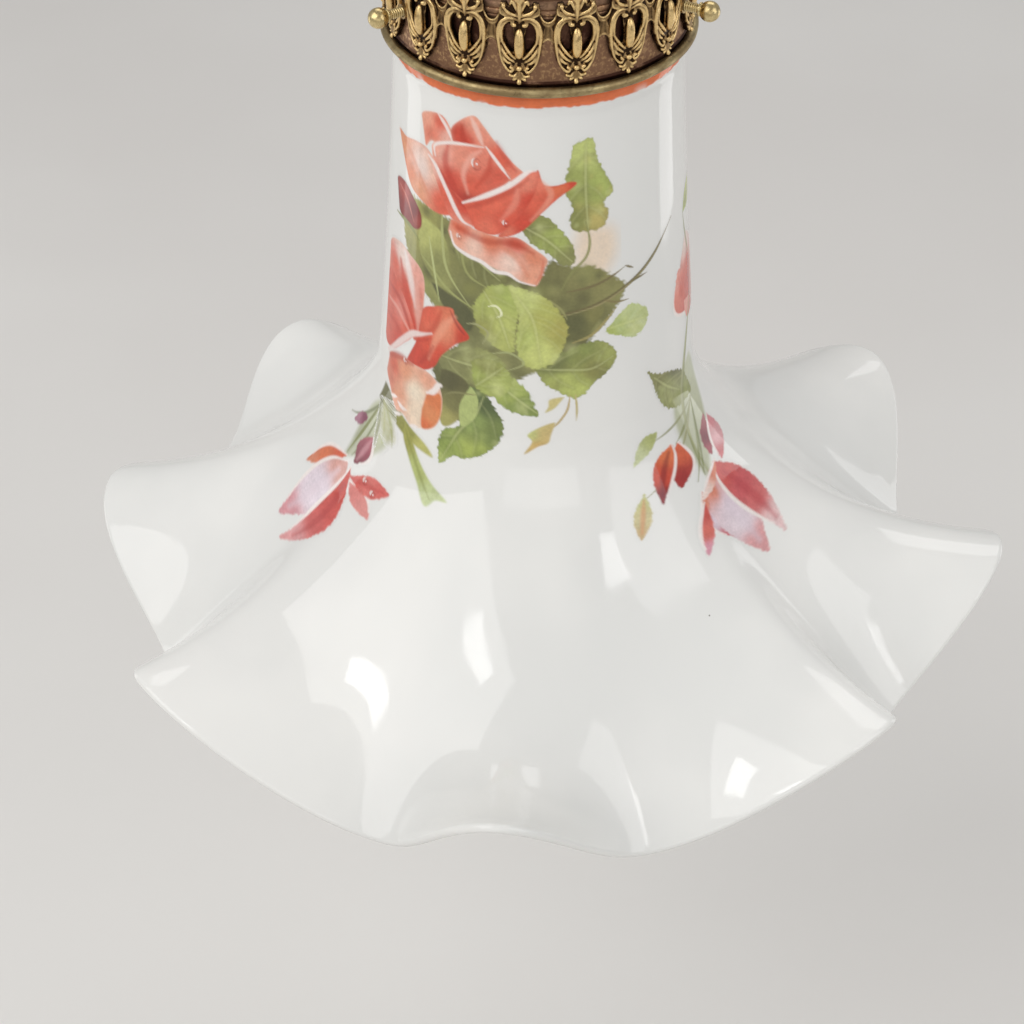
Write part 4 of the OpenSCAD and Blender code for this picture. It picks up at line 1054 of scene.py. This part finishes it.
DROP = [(0, 9.2, 2.2, 1.05), (0, 7.9, 1.7, 0.45), (0, 5.4, 1.7, 0.42), (0, 4.1, 2.1, 0.9)]
STEM = [(0, 25.4, 1.4, 0.3), (0, 27.6, 1.7, 0.5), (0, 30.4, 2.0, 0.6), (0, 33.6, 2.2, 0.75),
        (0, 37.0, 1.8, 0.95)]


def tube_mesh(stroke, steps=5, around=10):
    """A rounded tube along a stroke of (across, height, out, half thickness) points: points and quads."""
    line = smooth_line(stroke, steps)
    axis, radius = line[:, :3], np.maximum(line[:, 3], 0.1)
    along = unit(np.gradient(axis, axis=0))
    cap = np.array([0.98, 0.8, 0.45])[:, None]
    narrowing = np.sqrt(1 - cap[:, 0] ** 2)
    head = axis[0] - along[0] * radius[0] * cap
    tail = axis[-1] + along[-1] * radius[-1] * cap[::-1]
    axis = np.vstack([head, axis, tail])
    radius = np.concatenate([radius[0] * narrowing, radius, radius[-1] * narrowing[::-1]])
    along = np.vstack([[along[0]] * len(cap), along, [along[-1]] * len(cap)])
    side = unit(np.cross(along, (0, 0, 1)))
    face = np.cross(side, along)
    turn = np.linspace(0, 2 * np.pi, around, endpoint=False)[None, :, None]
    out = np.cos(turn) * side[:, None] + np.sin(turn) * face[:, None]
    rings = axis[:, None] + radius[:, None, None] * out
    faces = grid_faces(len(axis), around, False, True).tolist()
    faces += [list(range(around)), list(range((len(axis) - 1) * around, len(axis) * around))[::-1]]
    return rings.reshape(-1, 3), faces


def cartouche_strokes():
    """Every stroke of one cartouche."""
    return [SPINDLE, DROP, STEM, *HALF_STROKES, *([(-x, *rest) for x, *rest in s] for s in HALF_STROKES)]


def plate_mesh(points, faces):
    """Adds the pierced plate behind the strokes, from outlines filled by a flat curve."""
    curve = bpy.data.curves.new("plate", "CURVE")
    curve.dimensions = "2D"
    curve.fill_mode = "BOTH"
    curve.extrude = PLATE_T / 2
    heart = closed_curve(HEART, 4)
    outlines = [PLATE + [(-x, h) for x, h in PLATE[-2:0:-1]], heart, heart * (-1, 1)]
    for outline in outlines:
        spline = curve.splines.new("POLY")
        spline.points.add(len(outline) - 1)
        for corner, (x, h) in zip(spline.points, outline):
            corner.co = (x, h, 0, 1)
        spline.use_cyclic_u = True
    obj = add_object("plate", curve)
    mesh = with_modifiers(obj)
    start = len(points)
    points += [(*v.co.xy, v.co.z + PLATE_T / 2) for v in mesh.vertices]
    faces += [[start + i for i in f.vertices] for f in mesh.polygons]
    bpy.data.objects.remove(obj)


def cast_cartouche():
    """One cartouche, fused as a casting: points of (across, height, out), triangles and relief."""
    points, faces = [], []
    plate_mesh(points, faces)
    for stroke in cartouche_strokes():
        stroke_points, stroke_faces = tube_mesh(stroke)
        start = len(points)
        points += stroke_points.tolist()
        faces += [[start + i for i in f] for f in stroke_faces]
    mesh = bpy.data.meshes.new("cartouche")
    mesh.from_pydata(points, [], faces)
    close_mesh(mesh, merge=1e-5)
    obj = add_object("cartouche", mesh)
    remesh = obj.modifiers.new("fuse", "REMESH")
    remesh.mode = "VOXEL"
    remesh.voxel_size = VOXEL
    soften = obj.modifiers.new("soften", "SMOOTH")
    soften.factor = 0.5
    soften.iterations = 2
    thin = obj.modifiers.new("thin", "DECIMATE")
    thin.ratio = 0.20
    fused = with_modifiers(obj)
    bpy.data.objects.remove(obj)
    fused.calc_loop_triangles()
    vertices = np.array([v.co for v in fused.vertices])
    triangles = np.array([t.vertices for t in fused.loop_triangles])
    return vertices, triangles, relief_of(vertices, triangles)


def relief_of(vertices, triangles):
    """How far each point stands above its surroundings, from 0 in a hollow to 1 on a crest."""
    out = vertices[:, 2]
    ends = np.concatenate([triangles[:, [0, 1]], triangles[:, [1, 2]], triangles[:, [2, 0]]])
    ends = np.concatenate([ends, ends[:, ::-1]])
    count = np.maximum(np.bincount(ends[:, 0], minlength=len(out)), 1)
    smooth = np.maximum(out, PLATE_T - 0.5)
    rise = np.zeros(len(out))
    for step in range(24):
        smooth = np.bincount(ends[:, 0], weights=smooth[ends[:, 1]], minlength=len(out)) / count
        if step in (3, 9, 23):
            rise += 0.55 * (out - smooth)
    return np.clip(0.46 + rise + 0.10 * (out - PLATE_T), 0, 1)


def make_border(material):
    """The ring of cast cartouches, each bent to the band."""
    vertices, triangles, relief = cast_cartouche()
    across, height, out = vertices.T
    turn = np.degrees(across / (BAND_R + PLATE_T / 2))
    points, faces = [], []
    for k in range(CARTOUCHES):
        centre = FIRST_CARTOUCHE + 2 * HALF_PITCH * k
        wobble = 0.06 * math.sin(2.4 * k)
        points.append(polar(BAND_R + 0.05 + out + wobble, centre + turn, height + wobble))
        faces.append(triangles + k * len(vertices))
    mesh = new_mesh("cast_border", np.vstack(points), np.vstack(faces), material)
    # The material paints highlights on the crests and shade in the hollows from this value, over real wear
    # and dirt
    store(mesh, "relief", np.tile(relief, CARTOUCHES))
    place(add_object("cast_border", mesh), "root", "cast_brass", "gallery_border")


def make_bead(material):
    """The rolled bead, a little uneven along its length."""
    sides, around = 420, 20
    angle = np.arange(sides) * 360 / sides
    turn = np.linspace(0, 2 * np.pi, around, endpoint=False)[:, None]
    dent = 0.05 * np.sin(np.radians(angle * 7) + 1) + 0.04 * np.sin(np.radians(angle * 17))
    tube = BEAD_TUBE_R + dent * 0.5
    points = polar(BEAD_R + tube * np.cos(turn), angle, tube * np.sin(turn) + dent)
    faces = grid_faces(around, sides, True, True)
    bead = mesh_object("rolled_bead", points.reshape(-1, 3), faces, material)
    place(bead, "root", "bead_brass", "gallery_bead")


SCREW_Z, SCREW_IN, SCREW_NECK = 17.5, 50.0, 60.6
SHAFT_R, THREAD_DEPTH, THREAD_PITCH = 1.6, 0.16, 0.8
BORE_R = 1.9
BALL_AT, BALL_R = 64.4, 3.6
SCREW_ANGLES = {"left": -57.5, "right": 62.5, "back": 182.5}


def screw_points(angle, out, across, height):
    """Points along a screw's axis from the lamp's axis, across it and up from the bead plane."""
    a = math.radians(angle)
    x = out * math.sin(a) + across * math.cos(a)
    y = across * math.sin(a) - out * math.cos(a)
    return np.stack([x, y, height], -1).reshape(-1, 3)


def bore_band(band):
    """Cuts the holes that the screws and their tips slide through."""
    around = 32
    turn = np.linspace(0, 2 * np.pi, around, endpoint=False)[None, :]
    out = np.repeat([[BAND_R - 5], [BAND_R + 5]], around, 1)
    across = np.tile(BORE_R * np.cos(turn), (2, 1))
    height = np.tile(SCREW_Z + BORE_R * np.sin(turn), (2, 1))
    sides = grid_faces(2, around, False, True)
    for angle in SCREW_ANGLES.values():
        points = screw_points(angle, out, across, height)
        cutter = mesh_object("bore", points, sides, band.data.materials[0])
        close_mesh(cutter.data, fill=True)
        cut = band.modifiers.new("bore", "BOOLEAN")
        cut.operation = "DIFFERENCE"
        cut.solver = "EXACT"
        cut.object = cutter
        band.data = with_modifiers(band)
        band.modifiers.clear()
        bpy.data.objects.remove(cutter)


def make_band(material):
    """The band, with a turned line near its foot and its top; its stored relief value is low behind the
    cartouches and their openings and just above the bead, where it is painted darker as shade.
    """
    inner = BAND_R - 0.8
    middle = [(BAND_R, h) for h in np.arange(4, 26.5, 0.8)]
    outside = [(BAND_R, -1.2), (BAND_R, 1.9), (BAND_R + 0.35, 2.3), (BAND_R + 0.35, 2.9), (BAND_R, 3.3),
               *middle, (BAND_R, 26.6), (BAND_R - 0.15, 26.9), (BAND_R, 27.2), (BAND_R, 28.7),
               (BAND_R - 0.25, 29)]
    points, faces = lathe([*outside, (inner, 29), (inner, -1.2)], 720)
    band = mesh_object("plain_band", points, faces, material)
    bore_band(band)
    band.data.set_sharp_from_angle(angle=math.radians(50))
    x, y, height = (np.array([v.co for v in band.data.vertices]) / MM - (0, 0, BEAD_PLANE / MM)).T
    angle = np.degrees(np.arctan2(x, -y)) - FIRST_CARTOUCHE
    across = (np.mod(angle + HALF_PITCH, 2 * HALF_PITCH) / HALF_PITCH - 1) * math.radians(HALF_PITCH) * BAND_R
    # Painted shade: the stored value drops, and the band darkens, where the cartouches stand in front of it
    # and in a line just above the bead
    shade_behind_cartouches = ease(np.abs(across), 7.5, 6.0) * ease(height, 8, 13) * ease(height, 27.5, 25.5)
    foot = ease(height, 4.2, 3.2)
    relief = 0.58 - 0.38 * shade_behind_cartouches - 0.34 * foot
    store(band.data, "relief", relief)
    place(band, "root", "patinated_brass", "gallery_band")


def make_dome(material):
    """The spun dome with its steps and its crown, turned from one outline."""
    steps = [(51.8, 26.5), (51.8, 29), (51.5, 30.4), (50.6, 31.2), (49.2, 31.5), (48.7, 31.9), (48.6, 33.2),
             (48.1, 34.3), (46.8, 34.9), (45.0, 35.2), (44.0, 35.6)]
    t = np.linspace(0, 1, 40)
    crown = cubic(np.array([(43.5, 36), (41, 47), (22, 45), (14, 53)], float), t)
    outside = np.vstack([smooth_line(steps, 4), crown, [(13.2, 53.7), (12.5, 54)]])
    inside_line = outside + (-0.8, -0.25)
    points, faces = lathe(np.vstack([outside, [(5.3, 54), (5.3, 53.2)], inside_line[::-1]]), 300)
    place(mesh_object("spun_dome", points, faces, material), "root", "patinated_brass", "gallery_dome")


def make_thumbscrew(side, angle, material):
    """A ball-headed screw with a real thread, made along its own axis and turned to its place."""
    around = 32
    turn = np.linspace(0, 2 * np.pi, around, endpoint=False)
    shaft = np.arange(SCREW_IN, SCREW_NECK, THREAD_PITCH / 8)
    phase = 2 * np.pi * shaft[:, None] / THREAD_PITCH - turn
    runout = ease(shaft, SCREW_NECK, SCREW_NECK - 1.6) * ease(shaft, SCREW_IN, SCREW_IN + 0.8)
    radius = SHAFT_R + THREAD_DEPTH * np.cos(phase) * runout[:, None] ** 0.5
    collar = [(SCREW_NECK, 1.7), (SCREW_NECK + 0.1, 2.35), (SCREW_NECK + 0.45, 2.5), (SCREW_NECK + 0.75, 2.3),
              (SCREW_NECK + 0.85, 2.05)]
    ball = np.linspace(math.pi - 0.62, 0.0, 22)
    head = [(BALL_AT + BALL_R * math.cos(b), BALL_R * math.sin(b)) for b in ball]
    along = np.concatenate([[SCREW_IN], shaft, [p[0] for p in collar + head]])
    widths = np.vstack([np.zeros((1, around)), radius, [[p[1]] * around for p in collar + head]])
    out = np.repeat(along[:, None], around, 1)
    across, height = widths * np.cos(turn), SCREW_Z + widths * np.sin(turn)
    faces = grid_faces(len(along), around, False, True)
    screw = mesh_object(f"ball_screw_{side}", screw_points(angle, out, across, height), faces, material)
    place(screw, f"screw_{side}", "polished_brass", f"thumbscrew_{side}")


# ---- camera, floor and light ----

CAMERA_LENS, SENSOR = 84.4, 36
CAMERA_PLACE = (-0.0095, -0.766, 0.2882)
CAMERA_TILT = 51.25  # degrees up from looking straight down
FLOOR_DROP, FLOOR_HALF = 0.30, 6.0
# Name, place, size, power in watts and colour of each light; all of them face the shade
LIGHTS = [
    ("key_left", (-1.4, -0.9, 1.2), (2.2, 2.0), 24, (1, 0.99, 0.975)),
    ("fill_right", (1.5, -0.9, 0.6), (1.1, 1.5), 7, (1, 1, 1)),
    ("top_back", (0.2, 1.1, 1.3), (1.6, 0.9), 8, (1, 1, 1)),
    ("front_low", (0.1, -2.0, 0.2), (1.6, 0.7), 3, (1, 1, 1)),
    ("window_left", (-0.75, -1.25, 1.25), (0.24, 0.36), 1.3, (1, 1, 1)),
    ("window_right", (1.0, -1.3, 0.8), (0.2, 0.34), 0.9, (1, 1, 1)),
    ("strip_left", (-0.85, 0.30, -0.38), (0.28, 0.5), 0.45, (1, 1, 1)),
    ("strip_right", (0.85, 0.36, -0.38), (0.30, 0.5), 0.6, (1, 1, 1)),
]


def make_camera():
    camera = bpy.data.cameras.new("camera")
    camera.lens = CAMERA_LENS
    camera.sensor_width = SENSOR
    camera.clip_start = 0.01
    obj = add_object("camera", camera)
    obj.location = CAMERA_PLACE
    obj.rotation_euler = (math.radians(CAMERA_TILT), 0, 0)
    bpy.context.scene.camera = obj


def make_floor():
    """A plain pale sheet below the lamp."""
    n = Nodes("floor_paper")
    patches = n.ramp(n.noise(2.5, 3, 0.5), 0.3, 0.7)
    colour = n.mix(patches, (0.72, 0.70, 0.68), (0.76, 0.745, 0.725))
    n.finish(colour, n.ramp(n.noise(60, 3), 0.3, 0.7, 0.75, 0.9))
    half, z = FLOOR_HALF, LAMP_LOW - FLOOR_DROP
    mesh = bpy.data.meshes.new("floor")
    corners = [(-half, -half, z), (half, -half, z), (half, half, z), (-half, half, z)]
    mesh.from_pydata(corners, [], [(0, 1, 2, 3)])
    mesh.materials.append(n.material)
    add_object("floor", mesh)


def make_lights():
    """Soft studio light from all round, with two small bright ones for sparks on the glass."""
    world = bpy.data.worlds.new("world")
    bpy.context.scene.world = world
    world.use_nodes = True
    sky = world.node_tree.nodes["Background"]
    sky.inputs["Color"].default_value = (1.0, 0.995, 0.98, 1)
    sky.inputs["Strength"].default_value = 0.42
    middle = Vector((0, 0, LAMP_LOW * 0.6))
    for name, place_at, size, power, colour in LIGHTS:
        light = bpy.data.lights.new(name, "AREA")
        light.shape = "RECTANGLE"
        light.size, light.size_y = size
        light.energy = power
        light.color = colour
        obj = add_object(name, light)
        obj.location = place_at
        obj.rotation_euler = (middle - Vector(place_at)).to_track_quat("-Z", "Y").to_euler()
        obj.visible_camera = False
    bpy.context.scene.view_settings.view_transform = "Standard"


# ---- the lamp ----

make_camera()
make_floor()
make_lights()

finishes = make_finishes()
for part in frame["record"]["subparts"]:
    mesh = nodes[part["node"]].data
    mesh.materials.clear()
    mesh.materials.append(finishes[part["material_slot"]])

make_shade(finishes["opal_glass"])
make_painting(opal_glass("painted_glass", painted=True))
make_border(finishes["cast_brass"])
make_bead(finishes["bead_brass"])
# The band's darkest tone is painted shade behind the cartouches and above the bead
make_band(brass("band_patina_and_shade", *BAND_TONES, roughness=(0.24, 0.55), relief=True, scratch=0.8))
make_dome(finishes["patinated_brass"])
for side, angle in SCREW_ANGLES.items():
    make_thumbscrew(side, angle, finishes["polished_brass"])
